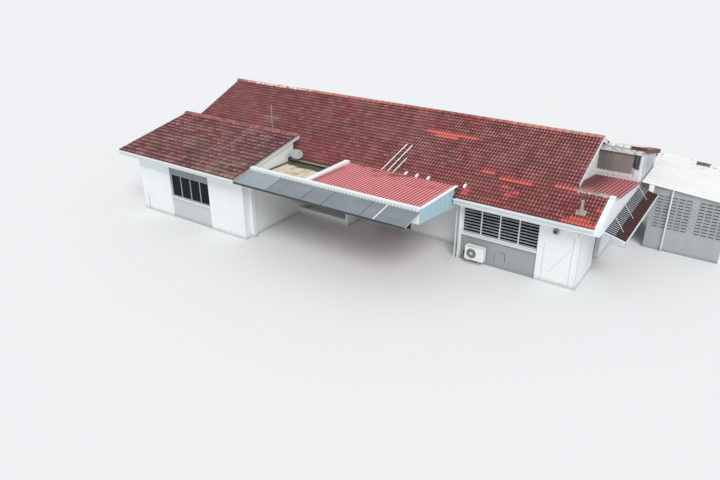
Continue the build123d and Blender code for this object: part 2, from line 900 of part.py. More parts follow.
# Entrance: two closed leaves in their frame
with BuildPart() as entrance_door:
    with BuildSketch(front_plane(porch_y + wall / 2)) as door_face:
        span(entrance_x, entrance_x + entrance_width, floor_top, door_head)
        for light0, light1 in lights(entrance_x, entrance_x + entrance_width, 2):
            span(light0, light1, floor_top, door_head - bar, Mode.SUBTRACT)
    extrude(door_face.sketch, amount=frame_depth, both=True)
    with BuildSketch(front_plane(porch_y + wall / 2)) as leaf_face:
        for light0, light1 in lights(entrance_x, entrance_x + entrance_width, 2):
            span(light0, light1, floor_top, door_head - bar)
    extrude(leaf_face.sketch, amount=door_leaf / 2, both=True)
save(entrance_door, "entrance_door")

# Low metal roof between the gable and the parapet
with BuildPart() as low_metal_roof:
    low_rear_y = extension_y - sheet
    low_front_y = lower_roof_y + sheet
    ribbed_sheet((gable_x1, low_rear_y, low_roof_under(low_rear_y)),
                 (gable_x1, low_front_y, low_roof_under(low_front_y)),
                 (1, 0, 0), extension_x + low_roof_overhang - gable_x1, low_rib_pitch)
    block(gable_x1, right_verge_x, lower_roof_y, right_board_y, low_roof_rear_height, main_top(right_board_y),
          Mode.SUBTRACT)
save(low_metal_roof, "low_metal_roof")

with BuildPart() as corrugated_panel:
    with BuildSketch(Plane.XY.offset(panel_sill)) as panel_profile:
        span(gable_x1, gable_x1 + panel_width, extension_y + panel_recess - 2 * sheet, extension_y + panel_recess)
        rib_count = round(panel_width / panel_rib_pitch)
        with Locations((gable_x1 + panel_width / 2, extension_y + panel_recess - 3 * sheet)):
            with GridLocations(panel_width / rib_count, 1, rib_count, 1):
                Trapezoid(panel_rib_width, 3 * sheet, panel_rib_angle, rotation=180)
    extrude(panel_profile.sketch, amount=panel_head - panel_sill)
save(corrugated_panel, "corrugated_panel")

# Side canopy on tie rods
canopy_y0 = right_y + canopy_start
canopy_y1 = vent_y0
canopy_length = canopy_y1 - canopy_y0
canopy_height = hood_underside + canopy_rise
with BuildPart() as side_canopy:
    canopy_fall = canopy_drop / canopy_reach
    ribbed_sheet((extension_x + canopy_clearance, canopy_y0, canopy_height - canopy_clearance * canopy_fall),
                 (extension_x + canopy_reach, canopy_y0, canopy_height - canopy_drop),
                 (0, 1, 0), canopy_length, canopy_rib_pitch)
save(side_canopy, "side_canopy")

with BuildPart() as canopy_frame:
    outer_z = canopy_height - canopy_drop
    for y in (canopy_y0, canopy_y1 - canopy_bar):
        elevation(y, y + canopy_bar, [
            (extension_x, canopy_height),
            (extension_x + canopy_reach, outer_z),
            (extension_x + canopy_reach, outer_z - canopy_bar),
            (extension_x, canopy_height - canopy_bar),
        ])
    block(extension_x + canopy_reach, extension_x + canopy_reach + canopy_bar, canopy_y0, canopy_y1,
          outer_z - canopy_bar, outer_z)
save(canopy_frame, "canopy_frame")

with BuildPart() as tie_rods:
    rib_step = canopy_length / round(canopy_length / canopy_rib_pitch)
    rib_top = canopy_height + (sheet + rib_height) * sqrt(1 + canopy_fall ** 2)
    for rib in tie_ribs:
        rod_y = canopy_y0 + (rib + 0.5) * rib_step
        rod_head = Vector(extension_x - tie_radius, rod_y + tie_skew, canopy_height + tie_rise)
        rod_foot = Vector(extension_x + tie_reach, rod_y, rib_top - tie_reach * canopy_fall)
        rod = rod_foot - rod_head
        with BuildSketch(Plane(origin=rod_head, z_dir=rod.normalized())):
            Circle(tie_radius)
        extrude(amount=rod.length)
    # ends cut to the wall's face and to the tops of the ribs
    block(extension_x - canopy_reach, extension_x, canopy_y0, canopy_y1, 0, canopy_height + 2 * tie_rise,
          Mode.SUBTRACT)
    elevation(canopy_y0, canopy_y1, [
        (extension_x, rib_top),
        (extension_x + canopy_reach, rib_top - canopy_drop),
        (extension_x + canopy_reach, 0),
        (extension_x, 0),
    ], Mode.SUBTRACT)
save(tie_rods, "tie_rods")

# Shed against the extension
shed_y1 = shed_y0 + shed_depth
shed_x1 = extension_x + shed_reach
shed_rise = (shed_low - shed_high) / (shed_x1 - extension_x)


def under_shed(x):
    """Height of the shed roof's underside above x."""
    return shed_high + (x - extension_x) * shed_rise


with BuildPart() as shed_roof:
    shed_x0 = extension_x + rear_end_overhang + fit
    ribbed_sheet((shed_x0, shed_y0, under_shed(shed_x0)), (shed_x1, shed_y0, shed_low), (0, 1, 0),
                 shed_depth, shed_rib_pitch)
save(shed_roof, "shed_roof")

vent_x0 = extension_x + shed_entry
vent_x1 = shed_x1 - shed_eave
with BuildPart() as vent_block_wall:
    elevation(vent_y0, vent_y0 + shed_wall, [
        (vent_x0, 0),
        (vent_x1, 0),
        (vent_x1, under_shed(vent_x1)),
        (vent_x0, under_shed(vent_x0)),
    ])
    with BuildSketch(front_plane(vent_y0)) as slots:
        for bay_start, columns in vent_bays:
            bay_middle = extension_x + bay_start + columns * vent_block_pitch_x / 2
            with Locations((bay_middle, vent_block_base + vent_block_rows * vent_block_pitch_z / 2)):
                with GridLocations(vent_block_pitch_x, vent_block_pitch_z, columns, vent_block_rows):
                    Rectangle(vent_slot_length, vent_slot_height)
    extrude(slots.sketch, amount=-shed_wall, mode=Mode.SUBTRACT)
save(vent_block_wall, "vent_block_wall")

with BuildPart() as shed_walls:
    elevation(shed_y1 - shed_eave - shed_wall, shed_y1 - shed_eave, [
        (extension_x, 0),
        (vent_x1, 0),
        (vent_x1, under_shed(vent_x1)),
        (extension_x, under_shed(extension_x)),
    ])
    elevation(vent_y0 + shed_wall, shed_y1 - shed_eave - shed_wall, [
        (vent_x1 - shed_wall, 0),
        (vent_x1, 0),
        (vent_x1, under_shed(vent_x1)),
        (vent_x1 - shed_wall, under_shed(vent_x1 - shed_wall)),
    ])
    # post in front of the ventilation blocks, under the roof's front edge
    post_x = extension_x + shed_post_start
    elevation(shed_y0, shed_y0 + shed_post, [
        (post_x, 0),
        (post_x + shed_post, 0),
        (post_x + shed_post, under_shed(post_x + shed_post)),
        (post_x, under_shed(post_x)),
    ])
save(shed_walls, "shed_walls")

# Air conditioner on two brackets against the recessed panel
ac_x0 = carport_x1 + ac_start
ac_y1 = right_y + recess - ac_gap
ac_y0 = ac_y1 - ac_depth
with BuildPart() as ac_unit:
    block(ac_x0, ac_x0 + ac_width, ac_y0, ac_y1, ac_base, ac_base + ac_height)
    fillet(ac_unit.edges().filter_by(Axis.Z), radius=ac_corner)
    with BuildSketch(front_plane(ac_y0)) as fan_hole:
        with Locations((ac_x0 + fan_inset, ac_base + ac_height / 2)):
            Circle(fan_radius)
            Circle(fan_hub_radius, mode=Mode.SUBTRACT)
    extrude(fan_hole.sketch, amount=-fan_depth, mode=Mode.SUBTRACT)
    for x in (ac_x0 + ac_bracket_inset, ac_x0 + ac_width - ac_bracket_inset):
        block(x - ac_bracket / 2, x + ac_bracket / 2, ac_y0, right_y + recess, ac_base - ac_bracket, ac_base)
save(ac_unit, "ac_unit")

# Dish on an arm from the left block's side wall
dish_origin = Vector(carport_x0 + dish_reach, clerestory_y - dish_front, dish_height)
dish_plane = Plane(origin=dish_origin, x_dir=(1, 0, -dish_axis.X / dish_axis.Z), z_dir=dish_axis)
with BuildPart() as satellite_dish:
    with BuildSketch(Plane(origin=dish_plane.origin, x_dir=dish_plane.x_dir, z_dir=-dish_plane.y_dir)):
        with BuildLine():
            rim = (dish_radius, dish_depth)
            inner_rim = (dish_radius, dish_depth + dish_sheet)
            Line((0, 0), (0, dish_sheet))
            ThreePointArc((0, dish_sheet), (dish_radius / 2, dish_depth / 4 + dish_sheet), inner_rim)
            Line(inner_rim, rim)
            ThreePointArc(rim, (dish_radius / 2, dish_depth / 4), (0, 0))
        make_face()
    revolve(axis=Axis(dish_plane.origin, dish_plane.z_dir))
    knuckle = dish_plane.origin - dish_axis * dish_sheet * 2
    with Locations(knuckle):
        Sphere(dish_knuckle)
    with BuildSketch(Plane(origin=(carport_x0, knuckle.Y, knuckle.Z), z_dir=(1, 0, 0))):
        Circle(mast_radius)
    extrude(amount=knuckle.X - carport_x0)
    # arm from the rim to the feed horn in front of the dish
    rim_point = dish_origin + dish_plane.x_dir * (dish_radius - feed_radius) + dish_axis * dish_depth
    horn_point = dish_origin + dish_plane.x_dir * dish_radius / 2 + dish_axis * feed_reach
    feed = horn_point - rim_point
    with BuildSketch(Plane(origin=rim_point, z_dir=feed.normalized())):
        Circle(feed_radius)
    extrude(amount=feed.length)
    with BuildSketch(Plane(origin=horn_point, z_dir=dish_axis)):
        Circle(horn_radius)
    extrude(amount=horn_length / 2, both=True)
save(satellite_dish, "satellite_dish")

# Antenna on the top edge of the left block's roof
mast_x = left_x + mast_inset
mast_y = left_top_y - cap_half_width
mast_foot = left_top(mast_y) + cap_rise / 2 - mast_radius / 2
with BuildPart() as tv_antenna:
    with BuildSketch(Plane.XY.offset(mast_foot)):
        with Locations((mast_x, mast_y)):
            Circle(mast_radius)
    extrude(amount=mast_height)
    boom_z = mast_foot + boom_rise
    block(mast_x - boom_length / 2, mast_x + boom_length / 2, mast_y - boom_size / 2, mast_y + boom_size / 2,
          boom_z, boom_z + boom_size)
    for offset in element_offsets:
        element_x = mast_x + offset
        block(element_x - element_size / 2, element_x + element_size / 2, mast_y - element_length / 2,
              mast_y + element_length / 2, boom_z + boom_size, boom_z + boom_size + element_size)
    add(ridge_caps.part, mode=Mode.SUBTRACT)
save(tv_antenna, "tv_antenna")

# Vent pipe and three thin pipes that lie on the tiles
roof_tilt = radians(main_pitch)
slope_dir = Vector(0, cos(roof_tilt), sin(roof_tilt))
slope_normal = Vector(0, -sin(roof_tilt), cos(roof_tilt))
with BuildPart() as roof_pipes:
    vent_pipe_x = right_x - vent_pipe_inset
    vent_pipe_y = right_y + vent_pipe_setback
    foot_y0, foot_y1 = vent_pipe_y - 2 * vent_pipe_radius, vent_pipe_y + 2 * vent_pipe_radius
    with BuildSketch(Plane.XY.offset(main_top(foot_y0))):
        with Locations((vent_pipe_x, vent_pipe_y)):
            Circle(vent_pipe_radius)
    extrude(amount=vent_pipe_height)
    # foot cut to the slope
    section(vent_pipe_x - 2 * vent_pipe_radius, vent_pipe_x + 2 * vent_pipe_radius, [
        (foot_y0, main_top(foot_y0)),
        (foot_y1, main_top(foot_y1)),
        (foot_y1, main_top(foot_y0)),
    ], Mode.SUBTRACT)
    for offset, length in roof_pipe_runs:
        run_y = metal_rear_y + roof_pipe_gap
        pipe_foot = Vector(carport_x0 + offset, run_y, main_top(run_y)) + slope_normal * roof_pipe_radius
        with BuildSketch(Plane(origin=pipe_foot, z_dir=slope_dir)):
            Circle(roof_pipe_radius)
        extrude(amount=length)
save(roof_pipes, "roof_pipes")
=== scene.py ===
import json
import math
import random

import bmesh
import bpy
from mathutils import Matrix, Vector


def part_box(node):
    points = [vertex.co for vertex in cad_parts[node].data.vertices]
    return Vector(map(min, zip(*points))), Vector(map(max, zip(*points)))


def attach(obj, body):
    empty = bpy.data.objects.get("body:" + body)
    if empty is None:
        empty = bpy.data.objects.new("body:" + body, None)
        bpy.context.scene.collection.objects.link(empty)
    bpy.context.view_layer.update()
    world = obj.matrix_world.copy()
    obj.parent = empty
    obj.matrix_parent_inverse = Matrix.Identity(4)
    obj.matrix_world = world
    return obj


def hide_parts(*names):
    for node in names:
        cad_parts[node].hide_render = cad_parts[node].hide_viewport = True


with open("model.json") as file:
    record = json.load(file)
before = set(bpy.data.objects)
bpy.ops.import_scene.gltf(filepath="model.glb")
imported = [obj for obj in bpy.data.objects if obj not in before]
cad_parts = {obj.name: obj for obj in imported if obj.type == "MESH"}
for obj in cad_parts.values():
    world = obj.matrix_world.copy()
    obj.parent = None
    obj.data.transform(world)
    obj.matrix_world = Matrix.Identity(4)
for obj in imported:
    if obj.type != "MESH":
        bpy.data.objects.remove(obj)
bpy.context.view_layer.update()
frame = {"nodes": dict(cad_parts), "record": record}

nodes = frame["nodes"]
print("frame loaded,", len(nodes), "nodes")


def paint(red, green, blue):
    # a colour read off a swatch, 0 to 255, as Blender wants it
    return tuple(((v / 255 + 0.055) / 1.055) ** 2.4 if v > 10 else v / 3294.6 for v in (red, green, blue)) + (1.0,)


# camera, light and floor
stand = {
    "place": (14.570, -27.364, 13.485),
    "turn": (64.303, 0, 34.023),
    "lens": 31.75,
    "sensor": 36.0,
    "farClip": 600,
    "sunAngle": 25.0,
    "sunStrength": 1.55,
    "sunTurn": (46.0, 0.0, 43.0),
    "skyColor": (0.93, 0.96, 1.0),
    "skyStrength": 0.80,
    "floorColor": (0.80, 0.80, 0.79),
    "floorSize": 260.0,
}


def addObject(name, data, place=(0, 0, 0), turn=(0, 0, 0)):
    made = bpy.data.objects.new(name, data)
    made.location = place
    made.rotation_euler = [math.radians(v) for v in turn]
    bpy.context.scene.collection.objects.link(made)
    return made


cameraData = bpy.data.cameras.new("photoView")
cameraData.lens = stand["lens"]
cameraData.sensor_width = stand["sensor"]
cameraData.clip_end = stand["farClip"]
bpy.context.scene.camera = addObject("photoView", cameraData, stand["place"], stand["turn"])
bpy.context.scene.view_settings.view_transform = "Standard"

sunData = bpy.data.lights.new("softSun", "SUN")
sunData.energy = stand["sunStrength"]
sunData.angle = math.radians(stand["sunAngle"])
addObject("softSun", sunData, turn=stand["sunTurn"])

world = bpy.data.worlds.new("paleSky")
world.use_nodes = True
sky = world.node_tree.nodes["Background"]
sky.inputs["Color"].default_value = (*stand["skyColor"], 1)
sky.inputs["Strength"].default_value = stand["skyStrength"]
bpy.context.scene.world = world


# shader and geometry trees share these few helpers
def put(tree, kind, inputs=None, **settings):
    node = tree.nodes.new(kind)
    for key, value in settings.items():
        setattr(node, key, value)
    for key, value in (inputs or {}).items():
        if isinstance(value, bpy.types.NodeSocket):
            tree.links.new(value, node.inputs[key])
        else:
            node.inputs[key].default_value = value
    return node


def calc(tree, operation, *values):
    return put(tree, "ShaderNodeMath", dict(enumerate(values)), operation=operation).outputs[0]


def times(tree, value, *factors):
    for factor in factors:
        value = calc(tree, "MULTIPLY", value, factor)
    return value


def vectorCalc(tree, operation, a, b):
    return put(tree, "ShaderNodeVectorMath", {0: a, 1: b}, operation=operation).outputs[0]


def scaled(tree, vector, factor):
    return put(tree, "ShaderNodeVectorMath", {0: vector, "Scale": factor}, operation="SCALE").outputs[0]


def noise(tree, vector, scale=1.0, detail=5, roughness=0.65, stretch=None):
    if stretch:
        vector = vectorCalc(tree, "MULTIPLY", vector, stretch)
    return put(tree, "ShaderNodeTexNoise", {"Vector": vector, "Scale": scale, "Detail": detail,
                                            "Roughness": roughness}).outputs[0]


def spread(tree, value, low, high, toLow=0.0, toHigh=1.0):
    return put(tree, "ShaderNodeMapRange", {0: value, 1: low, 2: high, 3: toLow, 4: toHigh}).outputs[0]


def mixColors(tree, factor, a, b):
    return put(tree, "ShaderNodeMix", {0: factor, 6: a, 7: b}, data_type="RGBA").outputs[2]


def objectPlace(tree):
    return put(tree, "ShaderNodeTexCoord").outputs["Object"]


def marked(tree, name):
    return put(tree, "ShaderNodeAttribute", attribute_name=name).outputs["Fac"]


def newTree(name, kind, inputs, outputs):
    # inputs and outputs give the kind of each socket by its name
    tree = bpy.data.node_groups.new(name, kind)
    for way, sockets in (("INPUT", inputs), ("OUTPUT", outputs)):
        for label, form in sockets.items():
            tree.interface.new_socket(label, in_out=way, socket_type="NodeSocket" + form)
    return tree, tree.nodes.new("NodeGroupInput").outputs, tree.nodes.new("NodeGroupOutput").inputs


def weatherGroup():
    # mottled paint, streaks that run down and dirt thrown up from the ground
    tree, given, result = newTree("weathering", "ShaderNodeTree", {
        "Clean": "Color", "Dirt": "Color", "Mottle": "Float", "Streaks": "Float", "Splash": "Float"},
        {"Color": "Color", "Height": "Float", "Mask": "Float"})
    place = objectPlace(tree)
    broad = noise(tree, place, 0.7, 5, 0.6)
    fine = noise(tree, place, 9.0, 4, 0.6)
    grain = noise(tree, place, 70.0, 3, 0.6)
    cloud = calc(tree, "ADD", times(tree, broad, 0.7), times(tree, fine, 0.3))
    mottle = times(tree, calc(tree, "SUBTRACT", 1.0, spread(tree, cloud, 0.3, 0.7)), given["Mottle"])
    drips = noise(tree, place, stretch=(7.0, 7.0, 0.55))
    dripPatch = spread(tree, noise(tree, place, 0.45, 2, 0.55), 0.42, 0.62)
    streaks = times(tree, spread(tree, drips, 0.52, 0.72), dripPatch, given["Streaks"])
    height = put(tree, "ShaderNodeSeparateXYZ", {0: place}).outputs[2]
    splash = calc(tree, "SUBTRACT", spread(tree, height, 0.0, 0.45, 1.0, 0.0), times(tree, fine, 0.8))
    splash = times(tree, spread(tree, splash, 0.0, 0.5), given["Splash"])
    dirt = calc(tree, "MAXIMUM", calc(tree, "MAXIMUM", streaks, splash), mottle)
    tree.links.new(mixColors(tree, dirt, given["Clean"], given["Dirt"]), result["Color"])
    tree.links.new(calc(tree, "ADD", grain, times(tree, fine, 0.6)), result["Height"])
    tree.links.new(dirt, result["Mask"])
    return tree


def zoneMask(tree, zone):
    # 1 inside the zone's ranges of x, y, z or w, where w is the height above a sloping line over y
    place = objectPlace(tree)
    x, y, z = put(tree, "ShaderNodeSeparateXYZ", {0: place}).outputs[:3]
    axes = {"x": x, "y": y, "z": z}
    if "line" in zone:
        start, rise = zone["line"]
        axes["w"] = calc(tree, "SUBTRACT", calc(tree, "SUBTRACT", z, start), times(tree, y, rise))
    mask = zone.get("amount", 1.0)
    soft = zone.get("soft", 0.004)
    for name in axes:
        if name not in zone:
            continue
        value = axes[name]
        if "ragged" in zone:
            size, scale = zone["ragged"]
            wander = calc(tree, "SUBTRACT", noise(tree, place, stretch=scale), 0.5)
            value = calc(tree, "ADD", value, times(tree, wander, size))
        low, high = zone[name]
        mask = times(tree, mask, spread(tree, value, low - soft, low + soft),
                     spread(tree, value, high - soft, high + soft, 1.0, 0.0))
    if "stripes" in zone:
        name, start, pitch, width = zone["stripes"]
        phase = calc(tree, "FRACT", calc(tree, "DIVIDE", calc(tree, "SUBTRACT", axes[name], start), pitch))
        mask = times(tree, mask, calc(tree, "LESS_THAN", phase, width / pitch))
    if "patchy" in zone:
        scale, low, high = zone["patchy"]
        mask = times(tree, mask, spread(tree, noise(tree, place, stretch=scale), low, high))
    return mask


def area(*color, **ranges):
    # a zone of one colour; soft widens its edges, ragged and patchy break it up, stripes repeat it
    return {"color": color, **ranges}


def paintZones(tree, color, zones):
    for zone in zones:
        color = mixColors(tree, zoneMask(tree, zone), color, paint(*zone["color"]))
    return color


def newFinish(name, roughness=0.7, metallic=0.0):
    material = bpy.data.materials.new(name)
    material.use_nodes = True
    shader = material.node_tree.nodes["Principled BSDF"]
    shader.inputs["Roughness"].default_value = roughness
    shader.inputs["Metallic"].default_value = metallic
    return material, material.node_tree, shader


def addBump(tree, shader, value, strength, distance):
    bump = put(tree, "ShaderNodeBump", {"Height": value, "Strength": strength, "Distance": distance})
    tree.links.new(bump.outputs[0], shader.inputs["Normal"])


weather = weatherGroup()
looks = {}


def finish(name, clean, dirt, mottle, streaks, splash, roughness, *zones, metallic=0.0, bump=0.25,
           transmission=0.0, specular=0.5):
    # paint with its weathering and with zones of other colours, kept in looks by its name
    looks[name], tree, shader = newFinish(name, roughness, metallic)
    shader.inputs["Transmission Weight"].default_value = transmission
    shader.inputs["Specular IOR Level"].default_value = specular
    worn = put(tree, "ShaderNodeGroup", {
        "Clean": paintZones(tree, paint(*clean), zones), "Dirt": paint(*dirt), "Mottle": mottle, "Streaks": streaks,
        "Splash": splash}, node_tree=weather)
    tree.links.new(worn.outputs["Color"], shader.inputs["Base Color"])
    tree.links.new(spread(tree, worn.outputs["Mask"], 0, 1, roughness, min(1.0, roughness + 0.2)),
                   shader.inputs["Roughness"])
    addBump(tree, shader, worn.outputs["Height"], bump, 0.004)


# geometry trees: tiles over an outline, a grid of repeats, and pipes along a route
def shake(tree, given, twist):
    # a small random turn for each repeat
    return put(tree, "FunctionNodeRandomValue", {
        "Min": scaled(tree, (-1, -1, -twist), given["Jitter"]), "Max": scaled(tree, (1, 1, twist), given["Jitter"]),
        "Seed": given["Seed"]}, data_type="FLOAT_VECTOR").outputs[0]


def toneRepeats(tree, placed, given, shift):
    # each repeat gets a random tone, and then all of them become plain mesh
    tone = put(tree, "FunctionNodeRandomValue", {"Seed": calc(tree, "ADD", given["Seed"], shift)}, data_type="FLOAT")
    toned = put(tree, "GeometryNodeStoreNamedAttribute", {
        "Geometry": placed.outputs[0], "Name": "tone", "Value": tone.outputs[1]}, data_type="FLOAT",
        domain="INSTANCE")
    return put(tree, "GeometryNodeRealizeInstances", {0: toned.outputs[0]}).outputs[0]


def endTree(tree, geometry, given, socket):
    finished = put(tree, "GeometryNodeSetMaterial", {0: geometry, "Material": given["Finish"]})
    tree.links.new(finished.outputs[0], socket)
    return tree


def tileField():
    tree, given, result = newTree("tileField", "GeometryNodeTree", {
        "Outline": "Geometry", "Tile": "Object", "Tile Width": "Float", "Gauge": "Float", "Pitch": "Float",
        "Turn": "Float", "Foot": "Vector", "Jitter": "Float", "Seed": "Int", "Finish": "Material"},
        {"Tiles": "Geometry"})
    limits = put(tree, "GeometryNodeBoundBox", {"Geometry": given["Outline"]})
    extent = put(tree, "ShaderNodeSeparateXYZ",
                 {0: vectorCalc(tree, "SUBTRACT", limits.outputs["Max"], limits.outputs["Min"])}).outputs
    columns = calc(tree, "ROUND", calc(tree, "DIVIDE", extent[0], given["Tile Width"]))
    fitted = calc(tree, "DIVIDE", extent[0], columns)
    rows = calc(tree, "ROUND", calc(tree, "DIVIDE", extent[1], given["Gauge"]))
    grid = put(tree, "GeometryNodeMeshGrid", {
        "Size X": times(tree, calc(tree, "SUBTRACT", columns, 1), fitted),
        "Size Y": times(tree, calc(tree, "SUBTRACT", rows, 1), given["Gauge"]),
        "Vertices X": columns, "Vertices Y": rows})
    half = put(tree, "ShaderNodeCombineXYZ", {
        0: times(tree, extent[0], 0.5), 1: times(tree, rows, given["Gauge"], 0.5)}).outputs[0]
    spots = put(tree, "GeometryNodeSetPosition", {
        "Geometry": grid.outputs["Mesh"], "Offset": vectorCalc(tree, "ADD", limits.outputs["Min"], half)})
    spot = put(tree, "GeometryNodeInputPosition").outputs[0]
    above = put(tree, "GeometryNodeRaycast", {
        "Target Geometry": given["Outline"], "Source Position": vectorCalc(tree, "ADD", spot, (0, 0, 1)),
        "Ray Direction": (0, 0, -1), "Ray Length": 3.0})
    missed = put(tree, "FunctionNodeBooleanMath", {0: above.outputs["Is Hit"]}, operation="NOT").outputs[0]
    kept = put(tree, "GeometryNodeDeleteGeometry", {"Geometry": spots.outputs[0], "Selection": missed})
    tileShape = put(tree, "GeometryNodeObjectInfo", {"Object": given["Tile"]})
    stretch = put(tree, "ShaderNodeCombineXYZ", {0: calc(tree, "DIVIDE", fitted, given["Tile Width"]), 1: 1, 2: 1})
    placed = put(tree, "GeometryNodeInstanceOnPoints", {
        "Points": kept.outputs[0], "Instance": tileShape.outputs["Geometry"], "Rotation": shake(tree, given, 0.6),
        "Scale": stretch.outputs[0]})
    turned = put(tree, "GeometryNodeTransform", {
        0: toneRepeats(tree, placed, given, 7), "Translation": given["Foot"],
        "Rotation": put(tree, "ShaderNodeCombineXYZ", {0: given["Pitch"], 2: given["Turn"]}).outputs[0]})
    return endTree(tree, turned.outputs[0], given, result["Tiles"])


def repeatGrid():
    tree, given, result = newTree("repeatGrid", "GeometryNodeTree", {
        "Shape": "Geometry", "Item": "Object", "Start": "Vector", "Step": "Vector", "Count": "Int",
        "Row Step": "Vector", "Rows": "Int", "Turn": "Vector", "Jitter": "Float", "Seed": "Int",
        "Finish": "Material"}, {"Repeats": "Geometry"})
    number = put(tree, "GeometryNodeInputIndex").outputs[0]
    across = calc(tree, "MODULO", number, given["Count"])
    down = calc(tree, "FLOOR", calc(tree, "DIVIDE", number, given["Count"]))
    shift = vectorCalc(tree, "ADD", scaled(tree, given["Step"], across), scaled(tree, given["Row Step"], down))
    points = put(tree, "GeometryNodePoints", {
        "Count": times(tree, given["Count"], given["Rows"]),
        "Position": vectorCalc(tree, "ADD", given["Start"], shift)})
    placed = put(tree, "GeometryNodeInstanceOnPoints", {
        "Points": points.outputs[0],
        "Instance": put(tree, "GeometryNodeObjectInfo", {"Object": given["Item"]}).outputs["Geometry"],
        "Rotation": vectorCalc(tree, "ADD", given["Turn"], shake(tree, given, 1))})
    return endTree(tree, toneRepeats(tree, placed, given, 3), given, result["Repeats"])


def pipeRun():
    tree, given, result = newTree("pipeRun", "GeometryNodeTree", {
        "Route": "Geometry", "Radius": "Float", "Bend": "Float", "Sides": "Int", "Finish": "Material"},
        {"Pipe": "Geometry"})
    route = put(tree, "GeometryNodeMeshToCurve", {0: given["Route"]})
    rounded = put(tree, "GeometryNodeFilletCurve", {
        "Curve": route.outputs[0], "Radius": given["Bend"], "Limit Radius": True})
    ring = put(tree, "GeometryNodeCurvePrimitiveCircle", {"Resolution": given["Sides"], "Radius": given["Radius"]})
    tube = put(tree, "GeometryNodeCurveToMesh", {
        "Curve": rounded.outputs[0], "Profile Curve": ring.outputs[0], "Fill Caps": True})
    smoothed = put(tree, "GeometryNodeSetShadeSmooth", {0: tube.outputs[0]})
    return endTree(tree, smoothed.outputs[0], given, result["Pipe"])


tileTree, repeatTree, pipeTree = tileField(), repeatGrid(), pipeRun()
print("node trees built")


def settle(made, slot, *replaced):
    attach(made, "root")
    if replaced:
        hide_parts(*replaced)
    return made


def grow(name, tree, mesh, values):
    # runs a geometry tree once and gives its plain mesh
    made = bpy.data.objects.new(name, mesh or bpy.data.meshes.new(name))
    modifier = made.modifiers.new("grow", "NODES")
    modifier.node_group = tree
    for item in tree.interface.items_tree:
        if item.in_out == "INPUT" and item.name in values:
            modifier[item.identifier] = values[item.name]
    bpy.context.scene.collection.objects.link(made)
    depsgraph = bpy.context.evaluated_depsgraph_get()
    plain = bpy.data.meshes.new_from_object(made.evaluated_get(depsgraph), preserve_all_data_layers=True,
                                            depsgraph=depsgraph)
    bpy.data.objects.remove(made)
    plain.name = name
    return plain


def joined(name, meshes, slot, *replaced):
    # one piece from several meshes of the same finish
    shape = bmesh.new()
    for mesh in meshes:
        shape.from_mesh(mesh)
    whole = bpy.data.meshes.new(name)
    shape.to_mesh(whole)
    shape.free()
    whole.materials.append(next(m for m in meshes[0].materials if m))
    whole.polygons.foreach_set("material_index", [0] * len(whole.polygons))
    return settle(addObject(name, whole), slot, *replaced)


def shapeMesh(name, build, material=None, bevel=0.0):
    mesh = bpy.data.meshes.new(name)
    shape = bmesh.new()
    build(shape)
    if bevel:
        bmesh.ops.bevel(shape, geom=shape.edges[:], offset=bevel, segments=2, profile=0.7, affect="EDGES",
                        clamp_overlap=True)
    shape.to_mesh(mesh)
    shape.free()
    if material:
        mesh.materials.append(material)
    return mesh


def outlineMesh(name, corners):
    # flat outline from (x, y) corners, one face for each list
    def build(shape):
        for ring in corners:
            shape.faces.new([shape.verts.new((*c, 0)) for c in ring])
    return shapeMesh(name, build)


def pipes(name, routes, radius, material, bend=0.03, sides=10):
    def build(shape):
        for route in routes:
            verts = [shape.verts.new(p) for p in route]
            for a, b in zip(verts, verts[1:]):
                shape.edges.new((a, b))
    return grow(name, pipeTree, shapeMesh(name, build), {
        "Radius": radius, "Bend": bend, "Sides": sides, "Finish": material})


def pipeFitting(name, slot, material, routes, radius, bend=0.03, sides=10):
    return joined(name, [pipes(name, routes, radius, material, bend, sides)], slot)


def repeats(name, item, material, start, step, count, rowStep=(0, 0, 0), rows=1, turn=(0, 0, 0), jitter=0.0, seed=1):
    return grow(name, repeatTree, None, {
        "Item": item, "Start": start, "Step": step, "Count": count, "Row Step": rowStep, "Rows": rows,
        "Turn": turn, "Jitter": jitter, "Seed": seed, "Finish": material})


def boxes(shape, *corners):
    # adds plain boxes from pairs of opposite corners
    for low, high in corners:
        size = Vector(high) - Vector(low)
        middle = (Vector(high) + Vector(low)) / 2
        bmesh.ops.create_cube(shape, size=1, matrix=Matrix.Translation(middle) @ Matrix.Diagonal((*size, 1)))


def disc(shape, middle, radius, depth, axis=(0, 0, 1), segments=24):
    turn = Vector((0, 0, 1)).rotation_difference(Vector(axis)).to_matrix().to_4x4()
    bmesh.ops.create_cone(shape, cap_ends=True, segments=segments, radius1=radius, radius2=radius, depth=depth,
                          matrix=Matrix.Translation(middle) @ turn)


def prism(shape, outline, start, end):
    # carries a flat outline of (y, z) corners along X
    first, last = [[shape.verts.new((x, y, z)) for y, z in outline] for x in (start, end)]
    faces = [shape.faces.new(first), shape.faces.new(last[::-1])]
    for i in range(len(outline)):
        j = (i + 1) % len(outline)
        faces.append(shape.faces.new((first[j], first[i], last[i], last[j])))
    bmesh.ops.recalc_face_normals(shape, faces=faces)


def fitting(name, slot, material, bevel, build, *replaced):
    return settle(addObject(name, shapeMesh(name, build, material, bevel)), slot, *replaced)


def template(name, build):
    # a shape to repeat, kept out of the scene itself
    return bpy.data.objects.new(name, shapeMesh(name, build))


# the floor is plain and pale, and shows white far off
floorMesh = outlineMesh("paleFloor", [[(-1, -1), (1, -1), (1, 1), (-1, 1)]])
floorMesh.transform(Matrix.Scale(stand["floorSize"], 4))
paleFloor = addObject("paleFloor", floorMesh)
floorFinish, tree, shader = newFinish("paleFloor", 0.9)
shader.inputs["Base Color"].default_value = (*stand["floorColor"], 1)
floorMesh.materials.append(floorFinish)

